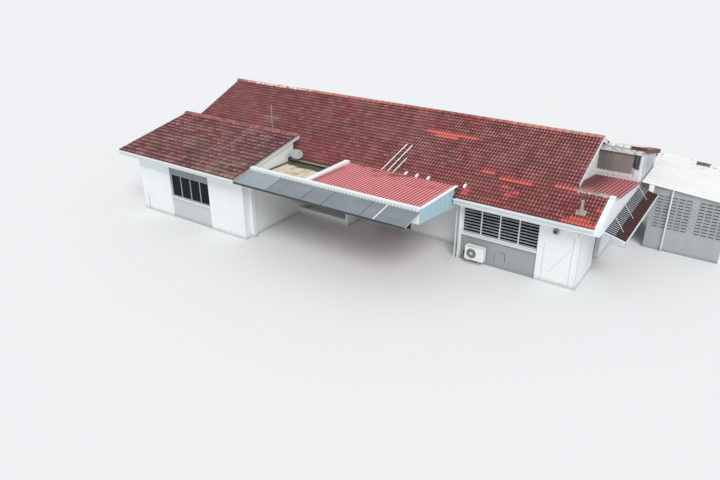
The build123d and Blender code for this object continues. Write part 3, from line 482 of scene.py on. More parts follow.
# lines of the house, taken from the frame
leftRoofBox, mainRoofBox, rearRoofBox, endRoofBox, carportRoof, lowRoof, shedRoof, canopy = [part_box(n) for n in (
    "left_block_roof", "main_roof_front", "main_roof_rear", "rear_end_roof", "carport_metal_roof", "low_metal_roof",
    "shed_roof", "side_canopy")]
leftWall, rightWall, endWall, parapet, beam, deck, awning, louvre, acUnit = [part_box(n) for n in (
    "left_front_wall", "right_front_wall", "extension_front_wall", "right_parapet", "carport_front_beam",
    "carport_deck", "awning_panels", "louvre_frame", "ac_unit")]
roofLines = {"slab": 0.15, "mainPitch": 22.8, "leftPitch": 11.0, "endPitch": 14.4, "endDrop": 0.18,
             "parapetWidth": 0.23}
ribs = {"carport": 36, "low": 13, "canopy": 33}
mainRise, leftRise, endRise = [math.tan(math.radians(roofLines[k])) for k in ("mainPitch", "leftPitch", "endPitch")]
mainEave, leftEave = mainRoofBox[0].z + roofLines["slab"], leftRoofBox[0].z + roofLines["slab"]
frontEaveY, ridgeY, rearEaveY = mainRoofBox[0].y, mainRoofBox[1].y, rearRoofBox[1].y
endTopY = endRoofBox[0].y
endTop = mainEave + (rearEaveY - endTopY) * mainRise - roofLines["endDrop"]
vergeX, gableX = rearRoofBox[1].x, endWall[0].x
parapetX = parapet[1].x - roofLines["parapetWidth"]
carportX0, carportX1 = deck[0].x, rightWall[0].x - 0.1
leftFront, wallFront = leftWall[0].y, rightWall[0].y


def mainTop(y):
    return mainEave + (ridgeY - frontEaveY - abs(y - ridgeY)) * mainRise


def leftTop(y):
    return leftEave + (y - leftRoofBox[0].y) * leftRise


# roof tiles: a double-roll tile, laid in courses over each slope; "side" paints shade along the side joints between
# tiles
tileSizes = {"roll": 0.036, "thickness": 0.014, "gap": 0.003, "lap": 0.05, "bed": 0.004, "steps": 12,
             "sharpness": 1.5, "backShade": 1.1, "darkest": -0.55, "sharpAngle": 0.9}
mainTiles = {"width": 0.30, "gauge": 0.228, "pitch": roofLines["mainPitch"], "courses": 24, "lowCourses": 8,
             "behindLeftWall": 3.85, "behindBeam": 0.15}
leftTiles = {"width": 0.32, "gauge": 0.306, "pitch": roofLines["leftPitch"], "side": 1.0}
capRoom = 0.1
freshSpots = [  # new orange tiles as ranges of x and y on the front slope
    (0.1, 2.75, -0.20, 0.02), (0.9, 1.9, -0.41, -0.19), (4.15, 4.79, -2.18, -1.95), (4.97, 6.59, -2.32, -2.12),
    (7.24, 8.15, -2.15, -1.94), (8.25, 9.6, -3.82, -3.62), (8.6, 9.3, -3.6, -3.42), (9.33, 9.6, -2.95, -2.70),
    (5.34, 5.69, -2.83, -2.63), (5.59, 5.88, -3.17, -2.97), (5.95, 6.22, -2.91, -2.71), (3.75, 3.95, -3.5, -3.25),
]


def tileObject(name, width, gauge, side=0.0):
    steps = tileSizes["steps"]
    front, back = -gauge / 2, gauge / 2 + tileSizes["lap"]
    fall = (tileSizes["thickness"] + tileSizes["gap"]) / gauge
    # painted light on each tile: a painted highlight across the rolls' crests, and painted shade in the valleys, along
    # the side joints when side is set, and towards the head where the next course laps over
    waves = [(0.5 + 0.5 * math.cos(4 * math.pi * (i / steps - 0.25))) ** tileSizes["sharpness"]
             for i in range(steps + 1)]
    tones = [wave - side * max(0.0, abs(2 * i / steps - 1) * 2.2 - 1.2) for i, wave in enumerate(waves)]
    behind = [tone - tileSizes["backShade"] for tone in tones]

    def build(shape):
        tileLight = shape.loops.layers.float.new("tileLight")
        rows = [[shape.verts.new(((i / steps - 0.5) * width, y, tileSizes["bed"] + 2 * tileSizes["thickness"]
                                  - (y - front) * fall + tileSizes["roll"] * wave)) for i, wave in enumerate(waves)]
                for y in (front, back)]
        low = [[shape.verts.new((end * width / 2, y, tileSizes["bed"])) for end in (-1, 1)] for y in (front, back)]
        for i in range(steps):
            face = shape.faces.new((rows[0][i], rows[0][i + 1], rows[1][i + 1], rows[1][i]))
            face.smooth = True
            for loop, value in zip(face.loops, (tones[i], tones[i + 1], behind[i + 1], behind[i])):
                loop[tileLight] = max(value, tileSizes["darkest"])
        sides = [[*rows[0], low[0][1], low[0][0]], [*rows[1], low[1][1], low[1][0]],
                 [rows[0][0], rows[1][0], low[1][0], low[0][0]], [rows[0][-1], rows[1][-1], low[1][1], low[0][1]],
                 [low[0][0], low[0][1], low[1][1], low[1][0]]]
        # the nose, the sides and the underside are marked for the darkest painted shade
        for ring in sides:
            for loop in shape.faces.new(ring).loops:
                loop[tileLight] = -1.0
        bmesh.ops.recalc_face_normals(shape, faces=shape.faces[:])
        for edge in shape.edges:
            edge.smooth = edge.calc_face_angle(0) < tileSizes["sharpAngle"]
    return template(name, build)


def tileColorGroup():
    tree, given, result = newTree("tileColor", "ShaderNodeTree", {
        "Crest": "Color", "Valley": "Color", "Joint": "Color", "Warm": "Color", "Lichen": "Color", "Soot": "Float",
        "Lichens": "Float"}, {"Color": "Color", "Height": "Float"})
    place = objectPlace(tree)
    tileLight = marked(tree, "tileLight")
    patches = noise(tree, place, 0.75, 4, 0.6)
    warmth = noise(tree, vectorCalc(tree, "ADD", place, (31.0, 0.0, 0.0)), 1.1, 4, 0.6)
    specks = noise(tree, place, 14.0, 4, 0.7)
    streaks = noise(tree, place, stretch=(2.2, 0.5, 0.5))
    # painted highlight and shade: the marked light runs from the Valley colour in shade to the Crest colour as a
    # highlight
    lift = calc(tree, "ADD", tileLight, times(tree, calc(tree, "SUBTRACT", marked(tree, "tone"), 0.5), 0.5))
    color = mixColors(tree, spread(tree, lift, 0.0, 1.0), given["Valley"], given["Crest"])
    color = mixColors(tree, times(tree, spread(tree, patches, 0.42, 0.60), 0.22), color, given["Lichen"])
    color = mixColors(tree, spread(tree, warmth, 0.50, 0.66), color, mixColors(tree, 0.28, color, given["Warm"]))
    color = mixColors(tree, times(tree, spread(tree, streaks, 0.45, 0.72), given["Soot"]), color, given["Joint"])
    lichens = times(tree, spread(tree, specks, 0.52, 0.68), spread(tree, patches, 0.42, 0.62), given["Lichens"])
    color = mixColors(tree, lichens, color, given["Lichen"])
    # painted shade on the noses, sides and laps, where the marked light falls below zero
    color = mixColors(tree, spread(tree, tileLight, -0.5, 0.0), given["Joint"], color)
    tree.links.new(color, result["Color"])
    tree.links.new(specks, result["Height"])
    return tree


tileColor = tileColorGroup()


def tileFinish(name, tileLight, valley, joint, lichen, soot, lichens, zones):
    material, tree, shader = newFinish(name, 0.6)
    tinted = put(tree, "ShaderNodeGroup", {
        "Crest": paint(*tileLight), "Valley": paint(*valley), "Joint": paint(*joint), "Warm": paint(178, 54, 56),
        "Lichen": paint(*lichen), "Soot": soot, "Lichens": lichens}, node_tree=tileColor)
    # fresh tiles get the same painted highlight on the crests and painted shade in the valleys
    orange = mixColors(tree, spread(tree, marked(tree, "tileLight"), -0.3, 0.9), paint(176, 64, 56), paint(242, 138, 120))
    color = mixColors(tree, marked(tree, "fresh"), tinted.outputs["Color"], orange)
    tree.links.new(paintZones(tree, color, zones), shader.inputs["Base Color"])
    addBump(tree, shader, tinted.outputs["Height"], 0.35, 0.006)
    return material


mainTileFinish = tileFinish("redTile", (212, 136, 132), (106, 46, 48), (30, 8, 10), (150, 112, 100), 0.25, 0.25, [
    # darker towards the left end: painted shade that tones down the highlights there
    area(70, 32, 34, x=(-15, -5.0), soft=3.0, amount=0.22),
    area(128, 44, 40, y=(-3.9, -2.6), soft=0.8, amount=0.35),
    area(186, 70, 68, x=(-13.0, -8.5), y=(-1.6, 0.2), soft=0.1, patchy=((1.3, 3.5, 1), 0.60, 0.66), amount=0.6)])
leftTileFinish = tileFinish("greyedTile", (246, 168, 166), (70, 24, 28), (40, 14, 18), (150, 124, 112), 0.2, 0.4, [
    area(136, 128, 104, x=(-7.6, -5.6), y=(-7.9, -6.6), soft=0.4, patchy=((1.2, 2.0, 1), 0.46, 0.56), amount=0.8),
    area(140, 126, 108, x=(-11.0, -7.4), y=(-5.4, -3.4), soft=0.6, patchy=((1.0, 2.0, 1), 0.54, 0.64), amount=0.5)])
endTileFinish = tileFinish("patchedTile", (160, 88, 84), (110, 46, 48), (60, 24, 28), (200, 190, 184), 0.4, 0.6, [
    area(222, 216, 210, x=(8.2, 9.4), y=(3.2, 6.6), ragged=(0.7, (1.5, 1.5, 1)), soft=0.05,
         patchy=((1.5, 1.5, 1), 0.3, 0.42))])
mainTile = tileObject("mainTile", mainTiles["width"], mainTiles["gauge"])
leftTile = tileObject("leftTile", leftTiles["width"], leftTiles["gauge"], leftTiles["side"])


def tileRoof(name, faces, tile, sizes, eaveY, eaveHeight, material, seed, pitch=None, rear=False):
    # faces are ranges of x and y in plan, laid flat before the courses are set on the slope
    slope = math.radians(pitch or sizes["pitch"])
    side = -1 if rear else 1
    corners = [[(side * x, side * (y - eaveY) / math.cos(slope)) for x, y in (
        (x0, y0), (x1, y0), (x1, y1), (x0, y1))] for x0, x1, y0, y1 in faces]
    mesh = grow(name, tileTree, outlineMesh(name, corners), {
        "Tile": tile, "Tile Width": sizes["width"], "Gauge": sizes["gauge"], "Pitch": slope,
        "Turn": math.pi if rear else 0.0, "Foot": (0, eaveY, eaveHeight), "Jitter": 0.007, "Seed": seed,
        "Finish": material})
    return settle(addObject(name, mesh), "roof_tile")


def mainReach(courses):
    return courses * mainTiles["gauge"] * math.cos(math.radians(mainTiles["pitch"]))


fullReach = mainReach(mainTiles["courses"])
topCourseY = frontEaveY + fullReach
frontTiles = tileRoof("mainTilesFront", [
    (mainRoofBox[0].x, carportX0, leftFront + mainTiles["behindLeftWall"], topCourseY),
    (carportX0, carportX1, frontEaveY + mainTiles["behindBeam"], topCourseY),
    (carportX1, vergeX, frontEaveY, topCourseY)],
    mainTile, mainTiles, frontEaveY, mainEave, mainTileFinish, 11)
lowerTiles = tileRoof("mainTilesLowerEnd", [
    (vergeX, mainRoofBox[1].x, frontEaveY, frontEaveY + mainReach(mainTiles["lowCourses"]))],
    mainTile, mainTiles, frontEaveY, mainEave, mainTileFinish, 12)
tileRoof("mainTilesRear", [(vergeX, mainRoofBox[0].x, rearEaveY, rearEaveY - fullReach)],
         mainTile, mainTiles, rearEaveY, mainEave, mainTileFinish, 13, rear=True)
tileRoof("rearEndTiles", [(endRoofBox[1].x, vergeX, rearEaveY, endTopY + capRoom)], mainTile, mainTiles, rearEaveY,
         endTop - (rearEaveY - endTopY) * endRise, endTileFinish, 14, pitch=roofLines["endPitch"], rear=True)
tileRoof("leftBlockTiles", [(leftRoofBox[0].x, leftRoofBox[1].x, leftRoofBox[0].y, leftRoofBox[1].y - capRoom)],
         leftTile, leftTiles, leftRoofBox[0].y, leftEave, leftTileFinish, 15)
perTile = len(mainTile.data.vertices)
for piece in (frontTiles, lowerTiles):
    # every tile has the same count of points, so each tile is one run of them
    mesh = piece.data
    flags = []
    for start in range(0, len(mesh.vertices), perTile):
        run = [v.co for v in mesh.vertices[start:start + perTile]]
        x, y = sum(c.x for c in run) / perTile, sum(c.y for c in run) / perTile
        new = any(x0 < x < x1 and y0 < y < y1 for x0, x1, y0, y1 in freshSpots)
        flags += [1.0 if new else 0.0] * perTile
    mesh.attributes.new("fresh", "FLOAT", "POINT").data.foreach_set("value", flags)
print("tiles laid")

# half-round ridge caps on the main ridge, the left block's top edge and the extension's top edge
capSizes = {"halfWidth": 0.145, "rise": 0.10, "step": 0.36, "length": 0.40, "flare": 0.010, "steps": 10, "sink": 0.012}
mainRidge, endRidge = (0.9, 1.8), (1.9, 2.6)
capZones = [
    area(232, 158, 132, x=(-14, -3.0), y=mainRidge, soft=1.5, patchy=((1.3, 3, 3), 0.34, 0.46), amount=0.9),
    area(240, 230, 224, x=(-12.6, -8.4), y=mainRidge, soft=0.6, patchy=((2.2, 5, 5), 0.44, 0.52)),
    area(238, 178, 162, x=(3.5, 8.4), y=mainRidge, soft=1.2, patchy=((0.8, 3, 3), 0.28, 0.42), amount=0.8),
    area(226, 222, 216, x=(8.0, 9.35), y=endRidge, soft=0.05, patchy=((2.5, 5, 5), 0.30, 0.42)),
    area(84, 40, 44, x=(9.3, 10), y=endRidge, soft=0.05),
]


def capBuild(shape):
    ends = []
    for x, grown in ((0, capSizes["flare"]), (capSizes["length"], 0)):
        turns = [math.pi * i / capSizes["steps"] for i in range(capSizes["steps"] + 1)]
        ends.append([shape.verts.new((x, -math.cos(a) * (capSizes["halfWidth"] + grown),
                                      math.sin(a) * (capSizes["rise"] + grown) - capSizes["sink"])) for a in turns])
    for i in range(capSizes["steps"]):
        shape.faces.new((ends[0][i], ends[0][i + 1], ends[1][i + 1], ends[1][i])).smooth = True
    shape.faces.new(ends[0])
    shape.faces.new(ends[1])
    shape.faces.new((ends[0][0], ends[1][0], ends[1][-1], ends[0][-1]))
    bmesh.ops.recalc_face_normals(shape, faces=shape.faces[:])


capFinish, tree, shader = newFinish("mottledCap", 0.65)
speck = noise(tree, objectPlace(tree), 9.0, 4, 0.7)
capTone = spread(tree, calc(tree, "ADD", speck, times(tree, marked(tree, "tone"), 0.4)), 0.45, 0.95)
capColor = paintZones(tree, mixColors(tree, capTone, paint(128, 62, 60), paint(176, 104, 98)), capZones)
tree.links.new(capColor, shader.inputs["Base Color"])
addBump(tree, shader, speck, 0.4, 0.006)
ridgeCap = template("ridgeCap", capBuild)
leftCapY = leftRoofBox[1].y - 0.13
capRuns = [
    ("mainCaps", (mainRoofBox[0].x - 0.02, ridgeY, mainTop(ridgeY)), vergeX - mainRoofBox[0].x, 0.0),
    ("leftCaps", (leftRoofBox[0].x - 0.02, leftCapY, leftTop(leftCapY)), leftRoofBox[1].x - leftRoofBox[0].x,
     math.radians(roofLines["leftPitch"])),
    ("endCaps", (vergeX + 0.03, endTopY + 0.10, endTop - 0.02), endRoofBox[1].x - vergeX - 0.06, 0.0),
]
capMeshes = []
for name, start, length, turn in capRuns:
    count = round(length / capSizes["step"])
    capMeshes.append(repeats(name, ridgeCap, capFinish, start, (length / count, 0, 0), count, turn=(turn, 0, 0),
                             jitter=0.012, seed=21))
joined("ridgeCapTiles", capMeshes, "ridge_tile", "ridge_caps")
print("ridge caps laid")

# finishes as clean, dirt, mottle, streaks, splash, roughness and the zones that the photo shows: first those of
# the material slots, then those of single nodes and of the fittings
recessFace = 0.03
windowX, windowSill = (-10.824, -8.024), 1.2
leftRecess, rightRecess = (leftFront + recessFace, 0), (wallFront + recessFace, 0)
carportStep = (carportRoof[1].x - carportRoof[0].x) / ribs["carport"]
lowStep = (lowRoof[1].x - lowRoof[0].x) / ribs["low"]
# rib lines of the side canopy, drawn as light stripes: painted highlights on the ribs
canopyRibHighlights = ("y", canopy[0].y + 0.075, (canopy[1].y - canopy[0].y) / ribs["canopy"], 0.09)
canopyBand = (9.7, 10.27)
# a dark strip at the corner beside the recessed panel: painted shade
cornerShade = area(70, 74, 84, x=(9.6, 9.80), y=(2.0, 2.2), z=(3.92, 4.62), soft=0.03, ragged=(0.12, (4, 1, 4)))
leftVerge = {"x": (leftRoofBox[1].x - 0.01, leftRoofBox[1].x + 0.04), "line": (leftTop(0), leftRise),
             "w": (-0.085, 0.2)}
looks["ridge_tile"] = capFinish
finish("plaster", (236, 240, 240), (128, 128, 124), 0.10, 0.14, 0.5, 0.85, bump=0.3)
finish("concrete", (168, 164, 156), (96, 92, 86), 0.4, 0.1, 0.2, 0.9)
finish("deck_concrete", (226, 219, 198), (160, 146, 116), 0.45, 0.0, 0.0, 0.9,
       area(196, 182, 150, patchy=((0.9, 4.0, 1), 0.5, 0.62), amount=0.6),
       # near-black band at the back of the deck: painted shade under the main eave, together with dark dirt
       area(14, 11, 9, y=(-4.30, -1.0), soft=0.06, ragged=(0.7, (1.3, 1.3, 1))),
       area(30, 24, 20, x=(deck[0].x - 0.1, deck[0].x + 0.22), soft=0.04, ragged=(0.25, (1, 2, 1))),
       area(168, 146, 112, x=(-5.2, -3.6), y=(-6.3, -4.0), soft=0.3, patchy=((1.6, 0.9, 1), 0.48, 0.6), amount=0.8))
finish("roof_tile", (120, 70, 66), (60, 36, 36), 0.3, 0.1, 0.0, 0.9)
finish("painted_board", (230, 233, 235), (120, 114, 106), 0.14, 0.2, 0.0, 0.6)
finish("white_metal", (228, 232, 234), (120, 110, 98), 0.12, 0.15, 0.0, 0.45,
       area(158, 162, 152, x=(carportX0, deck[1].x), y=(-4, -3.6)))
finish("white_pipe", (218, 222, 224), (120, 116, 108), 0.15, 0.2, 0.2, 0.5)
finish("red_sheet", (190, 70, 78), (120, 58, 60), 0.25, 0.1, 0.0, 0.5,
       # light stripes on the ribs: painted highlights
       area(240, 172, 170, stripes=("x", carportRoof[0].x + 0.048, carportStep, 0.064)),
       area(150, 62, 66, x=(carportRoof[0].x - 0.1, carportRoof[0].x + 0.3), y=(carportRoof[0].y, -4), soft=0.15,
            amount=0.6),
       area(104, 56, 54, x=(-1.6, 3.0), y=(carportRoof[1].y - 1.1, carportRoof[1].y + 0.2), soft=0.35,
            patchy=((1.2, 3.2, 1), 0.50, 0.64), amount=0.85), metallic=0.1)
finish("blue_sheet", (176, 206, 216), (126, 140, 144), 0.12, 0.15, 0.0, 0.5,
       area(122, 150, 160, stripes=("y", beam[0].y + 0.02, 0.43, 0.016)), metallic=0.1)
finish("awning_sheet", (124, 130, 137), (96, 100, 104), 0.2, 0.1, 0.0, 0.35,
       area(148, 158, 166, x=(-6, -3.66)),
       area(142, 150, 158, soft=0.1, patchy=((0.8, 1.5, 1), 0.48, 0.68), amount=0.5),
       area(50, 54, 58, y=(-9, awning[0].y + 0.015)))
finish("window_frame", (226, 229, 230), (120, 110, 98), 0.12, 0.15, 0.0, 0.45, area(160, 166, 168, y=(-8, -7)))
# near-black, almost opaque glass in the windows and louvres: painted shade of the rooms behind
finish("window_glass", (8, 10, 10), (5, 6, 6), 0.3, 0.0, 0.0, 0.15, bump=0.02, transmission=0.08, specular=0.12)
finish("louvre_glass", (30, 35, 36), (18, 20, 20), 0.3, 0.1, 0.0, 0.15,
       # the light front edges of the louvre blades are a painted reflection
       area(196, 200, 200, y=(-9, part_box("louvre_blades")[0].y + 0.034), soft=0.008), bump=0.05, transmission=0.2)
finish("door_wood", (92, 60, 42), (40, 28, 22), 0.4, 0.1, 0.1, 0.5)
# the side canopy's sheet is dark red with a grey inner band; its light rib stripes are painted highlights and the dark
# ground between them painted shade
finish("tile_sheet", (34, 10, 11), (28, 12, 14), 0.35, 0.1, 0.0, 0.85, area(136, 84, 82, stripes=canopyRibHighlights),
       area(44, 46, 50, x=canopyBand), area(226, 230, 234, x=canopyBand, stripes=canopyRibHighlights))
finish("shed_sheet", (240, 240, 238), (190, 172, 152), 0.2, 0.0, 0.0, 0.6,
       area(72, 68, 64, y=(-1, shedRoof[0].y + 0.03)),
       area(150, 120, 100, x=(10.8, 14), y=(6.6, 8.1), soft=0.3, patchy=((1.4, 3.0, 1), 0.55, 0.66), amount=0.8),
       # dark patch where the sheet is torn: painted shade inside the hole
       area(66, 54, 44, x=(11.55, 12.2), y=(7.35, 7.85), ragged=(0.4, (2, 2, 1)), soft=0.02))
finish("block", (182, 187, 188), (104, 106, 102), 0.35, 0.3, 0.5, 0.85,
       area(128, 132, 132, z=(1.1, 2.75), stripes=("z", 1.093, 0.15, 0.014), amount=0.8),
       area(128, 132, 132, z=(1.1, 2.75), stripes=("x", 10.689, 0.30, 0.014), amount=0.8))
finish("corrugated", (158, 150, 140), (92, 86, 78), 0.35, 0.5, 0.0, 0.7,
       area(92, 88, 84, x=(gableX - 0.1, gableX + 0.45), soft=0.35, amount=0.7),
       area(226, 226, 222, z=(3.5, 3.64), soft=0.01, ragged=(0.26, (9, 9, 0.2))))
finish("appliance", (243, 244, 241), (130, 122, 108), 0.12, 0.1, 0.0, 0.4,
       area(70, 72, 72, x=(acUnit[0].x + 0.09, acUnit[0].x + 0.56), y=(acUnit[0].y + 0.02, acUnit[0].y + 0.04)))
finish("dish_metal", (166, 172, 174), (100, 102, 102), 0.2, 0.2, 0.0, 0.4)
finish("antenna_metal", (196, 198, 198), (120, 118, 112), 0.3, 0.1, 0.0, 0.4, metallic=0.6)
finish("left_front_wall", (236, 240, 239), (128, 128, 124), 0.10, 0.14, 0.5, 0.85,
       # the window recess's grey paint, darker above the sill as painted shade under the eave
       area(140, 146, 152, x=windowX, y=leftRecess, z=(windowSill, 4)),
       area(200, 204, 204, x=windowX, y=leftRecess, z=(-1, windowSill)))
finish("right_front_wall", (239, 242, 241), (128, 128, 124), 0.08, 0.10, 0.5, 0.85,
       area(158, 163, 164, x=(louvre[0].x, louvre[1].x), y=rightRecess, z=(-1, louvre[0].z)),
       area(112, 118, 118, x=(louvre[0].x, louvre[0].x + 1.1), y=rightRecess, z=(-1, louvre[0].z), soft=0.5,
            amount=0.8))
finish("right_parapet", (236, 240, 243), (128, 138, 138), 0.12, 0.7, 0.0, 0.8, cornerShade)
finish("extension_side_wall", (232, 236, 242), (70, 72, 78), 0.15, 0.3, 0.3, 0.85, cornerShade,
       area(96, 100, 108, z=(3.2, 4.75), soft=0.05, patchy=((2, 6, 0.45), 0.50, 0.60), amount=0.85),
       area(84, 88, 96, y=(2.9, 7.0), z=(3.2, 4.4), soft=0.4, patchy=((2, 3, 0.3), 0.42, 0.6), amount=0.8))
finish("extension_front_wall", (230, 232, 236), (110, 104, 98), 0.2, 0.3, 0.0, 0.85,
       # the same painted shade strip beside the recessed panel
       area(70, 74, 84, x=(9.49, 9.80), y=(2.0, 9), z=(3.92, 4.7), soft=0.03, ragged=(0.12, (4, 1, 4))),
       area(190, 190, 184, x=(gableX, 9.5), z=(3.44, 3.66), patchy=((14, 1, 1), 0.45, 0.55), amount=0.6))
finish("verge_boards", (232, 235, 236), (120, 112, 102), 0.12, 0.2, 0.0, 0.6,
       area(168, 164, 156, **leftVerge, soft=0.008, ragged=(0.03, (3, 3, 3))),
       area(104, 100, 94, **leftVerge, patchy=((5, 5, 12), 0.5, 0.66)),
       area(150, 128, 116, x=(gableX - 0.1, 9.95), y=(endTopY - 0.1, endTopY + 0.01), z=(4.5, 5),
            patchy=((5, 1, 9), 0.50, 0.62), amount=0.8))
finish("carport_front_beam", (240, 242, 242), (130, 126, 118), 0.12, 0.2, 0.0, 0.7,
       area(192, 195, 196, y=(-9, beam[0].y + 0.01), z=(3.47, 3.545), stripes=("x", beam[0].x, 0.16, 0.075)))
finish("awning_frame", (196, 200, 204), (96, 98, 100), 0.3, 0.1, 0.0, 0.45,
       area(66, 72, 76, y=(-9, awning[0].y + 0.06)))
finish("low_metal_roof", (160, 72, 80), (96, 48, 52), 0.3, 0.1, 0.0, 0.5,
       # light stripes on the ribs: painted highlights
       area(206, 130, 132, stripes=("x", lowRoof[0].x + 0.048, lowStep, 0.064)),
       # dark patch at the left end: painted shadow of the main roof's verge
       area(72, 34, 40, x=(7.9, 8.75), y=(-1.2, 2.2), soft=0.45, amount=0.85), metallic=0.1)
finish("darkFitting", (52, 54, 56), (30, 30, 30), 0.3, 0.0, 0.0, 0.6)
finish("mortar", (170, 140, 128), (110, 70, 62), 0.7, 0.0, 0.0, 0.95,
       area(222, 208, 202, patchy=((1.5, 3, 3), 0.5, 0.6)))
finish("paleMetal", (236, 238, 238), (130, 126, 118), 0.1, 0.15, 0.0, 0.5)
finish("greyPipe", (176, 170, 162), (96, 88, 80), 0.35, 0.4, 0.0, 0.7)
finish("lampGrey", (150, 152, 150), (70, 70, 68), 0.2, 0.0, 0.0, 0.4,
       area(48, 50, 50, x=(7.94, 8.06), y=(-9, wallFront - 0.09), z=(2.42, 2.54)))
finish("grilleGrey", (196, 198, 196), (90, 90, 88), 0.2, 0.1, 0.0, 0.7)
looks["carport_side_beams"] = looks["carport_front_beam"]
for part in frame["record"]["subparts"]:
    mesh = nodes[part["node"]].data
    mesh.materials.clear()
    mesh.materials.append(looks.get(part["node"]) or looks[part["material_slot"]])
print("nodes dressed")

# pipes on the roof: three white runs on blocks, loose straps at the eave, and the vent pipe with its flashing
roofPipe = {"radius": 0.026, "raised": 0.115, "block": (0.05, 0.04), "blockFoot": 0.045, "blocksAt": (0.12, 0.5, 0.88)}
pipeRuns = [(-0.44, -0.178, -3.41, -1.43), (-0.11, 0.119, -3.44, -1.44), (0.183, 0.325, -3.45, -2.31)]
strapSpots = [(0.82, -3.20), (1.39, -3.20), (1.98, -3.20), (3.79, -3.18)]
strapProfile = [(-0.10, 0), (0.11, 0.09), (0.11, 0.15), (-0.03, 0.14), (-0.13, 0.06)]
vent = {"x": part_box("roof_pipes")[1].x - 0.06, "y": wallFront - 0.05, "collar": (0.20, 0.12), "lifts": (0.03, 0.085),
        "rings": ((0.055, 0.0, 0.56), (0.085, 0.02, 0.22), (0.115, 0.02, 0.16), (0.072, 0.50, 0.575))}


def roofPipeBuild(shape):
    wide, thick = roofPipe["block"]
    for x0, x1, y0, y1 in pipeRuns:
        for part in roofPipe["blocksAt"]:
            x, y = x0 + (x1 - x0) * part, y0 + (y1 - y0) * part
            boxes(shape, ((x - wide / 2, y - thick / 2, mainTop(y) + roofPipe["blockFoot"]),
                          (x + wide / 2, y + thick / 2, mainTop(y) + roofPipe["raised"])))
    for x, y in strapSpots:
        prism(shape, [(y + a, mainTop(y) + b) for a, b in strapProfile], x - 0.05, x + 0.05)


def ventBuild(shape):
    x, y = vent["x"], vent["y"]
    for radius, low, high in vent["rings"]:
        disc(shape, (x, y, mainTop(y) + (low + high) / 2), radius, high - low)
    across, along = vent["collar"]
    low, high = vent["lifts"]
    prism(shape, [(y + a, mainTop(y + a) + lift) for a, lift in (
        (-along, low), (along, low), (along, high), (-along, high))], x - across, x + across)


roofRoutes = [[(x, y, mainTop(y) + roofPipe["raised"]) for x, y in ((x0, y0), (x1, y1))] for x0, x1, y0, y1 in pipeRuns]
joined("roofPipes", [pipes("roofRuns", roofRoutes, roofPipe["radius"], looks["paleMetal"], bend=0.0),
                     shapeMesh("roofPipeFeet", roofPipeBuild, looks["paleMetal"], 0.006)], "white_pipe")
fitting("ventPipe", "white_pipe", looks["greyPipe"], 0.006, ventBuild, "roof_pipes")

# mortar bed at the front of the low roof, with a ragged front and top
mortarBed = {"x": (8.14, 9.62), "y": (-2.17, -2.0), "step": 0.06, "wander": (-0.035, 0.05), "back": (0.055, 0.10),
             "nose": (0.05, 0.08), "crown": (0.07, 0.11)}
draw = random.Random(5)


def mortarBuild(shape):
    rows = []
    low, high = mortarBed["x"]
    back = mortarBed["y"][1]
    count = round((high - low) / mortarBed["step"])
    for i in range(count + 1):
        x = low + (high - low) * i / count
        front = mortarBed["y"][0] + draw.uniform(*mortarBed["wander"])
        middle = (front + back) / 2
        top = mainTop(back) + draw.uniform(*mortarBed["back"])
        rows.append([shape.verts.new(c) for c in (
            (x, front, mainTop(front) + 0.02), (x, front + 0.02, mainTop(front) + draw.uniform(*mortarBed["nose"])),
            (x, middle, mainTop(middle) + draw.uniform(*mortarBed["crown"])),
            (x, back, top), (x, back, mainTop(back) - 0.03))])
    for a, b in zip(rows, rows[1:]):
        for j in range(5):
            shape.faces.new((a[j], a[(j + 1) % 5], b[(j + 1) % 5], b[j]))
    shape.faces.new(rows[0])
    shape.faces.new(rows[-1])
    bmesh.ops.recalc_face_normals(shape, faces=shape.faces[:])


fitting("mortarBed", "concrete", looks["mortar"], 0.0, mortarBuild)

# sills as x range, wall face, top, drop and reach, and the ledge on the left block's front
sills = [(-10.864, -7.984, leftFront, 1.20, 0.06, 0.03), (3.776, 7.346, wallFront, 1.33, 0.06, 0.045)]
ledge = {"x": (-13.18, -10.89), "z": (2.43, 2.46), "reach": 0.024}


def sillBuild(shape):
    for x0, x1, face, top, drop, reach in sills:
        prism(shape, [(face + recessFace + 0.03, top - drop), (face - reach, top - drop - 0.006),
                      (face - reach, top - 0.018), (face + recessFace + 0.03, top - 0.002)], x0, x1)
    low, high = ledge["z"]
    prism(shape, [(leftFront, low), (leftFront - ledge["reach"], low + 0.006), (leftFront - ledge["reach"], high),
                  (leftFront, high + 0.012)], *ledge["x"])


fitting("windowSills", "plaster", looks["painted_board"], 0.004, sillBuild)

# cables and conduits, each with the wall face that it lies on and its (x, z) points
recessFront = wallFront + 0.06
cable, conduit = {"radius": 0.007, "bend": 0.02, "sides": 8}, {"radius": 0.013}
wire = {"radius": 0.004, "bend": 0.0, "sides": 6}
darkRuns = [
    (recessFront, [(5.42, 0.68), (5.42, 0.29)]), (recessFront, [(5.65, 0.80), (5.89, 0.79), (5.93, 0.38)]),
    (leftFront, [(leftWall[0].x + 0.18, 0.89), (leftWall[0].x + 0.18, 0.07)]),
    (leftFront + 0.06, [(-9.11, 2.72), (-9.11, 2.42)]),
]
paleRuns = [(wallFront, [(x, start), (x, end)]) for x, start, end in (
    (8.79, 2.40, 0.18), (9.075, 2.42, 0.06), (7.60, 1.85, 0.35), (8.00, 2.86, 2.56), (8.84, 2.60, 2.86))]


def onWall(runs, radius, sunk=0.8):
    return [[(x, face - radius * sunk, z) for x, z in run] for face, run in runs]


pipeFitting("wallCables", "appliance", looks["darkFitting"], onWall(darkRuns, cable["radius"]), **cable)
pipeFitting("wallConduits", "white_pipe", looks["white_pipe"], onWall(paleRuns, conduit["radius"]), **conduit)
pipeFitting("wallWire", "appliance", looks["greyPipe"],
            onWall([(wallFront, [(7.90, 0.53), (8.72, 1.82)])], wire["radius"], 1.0), **wire)

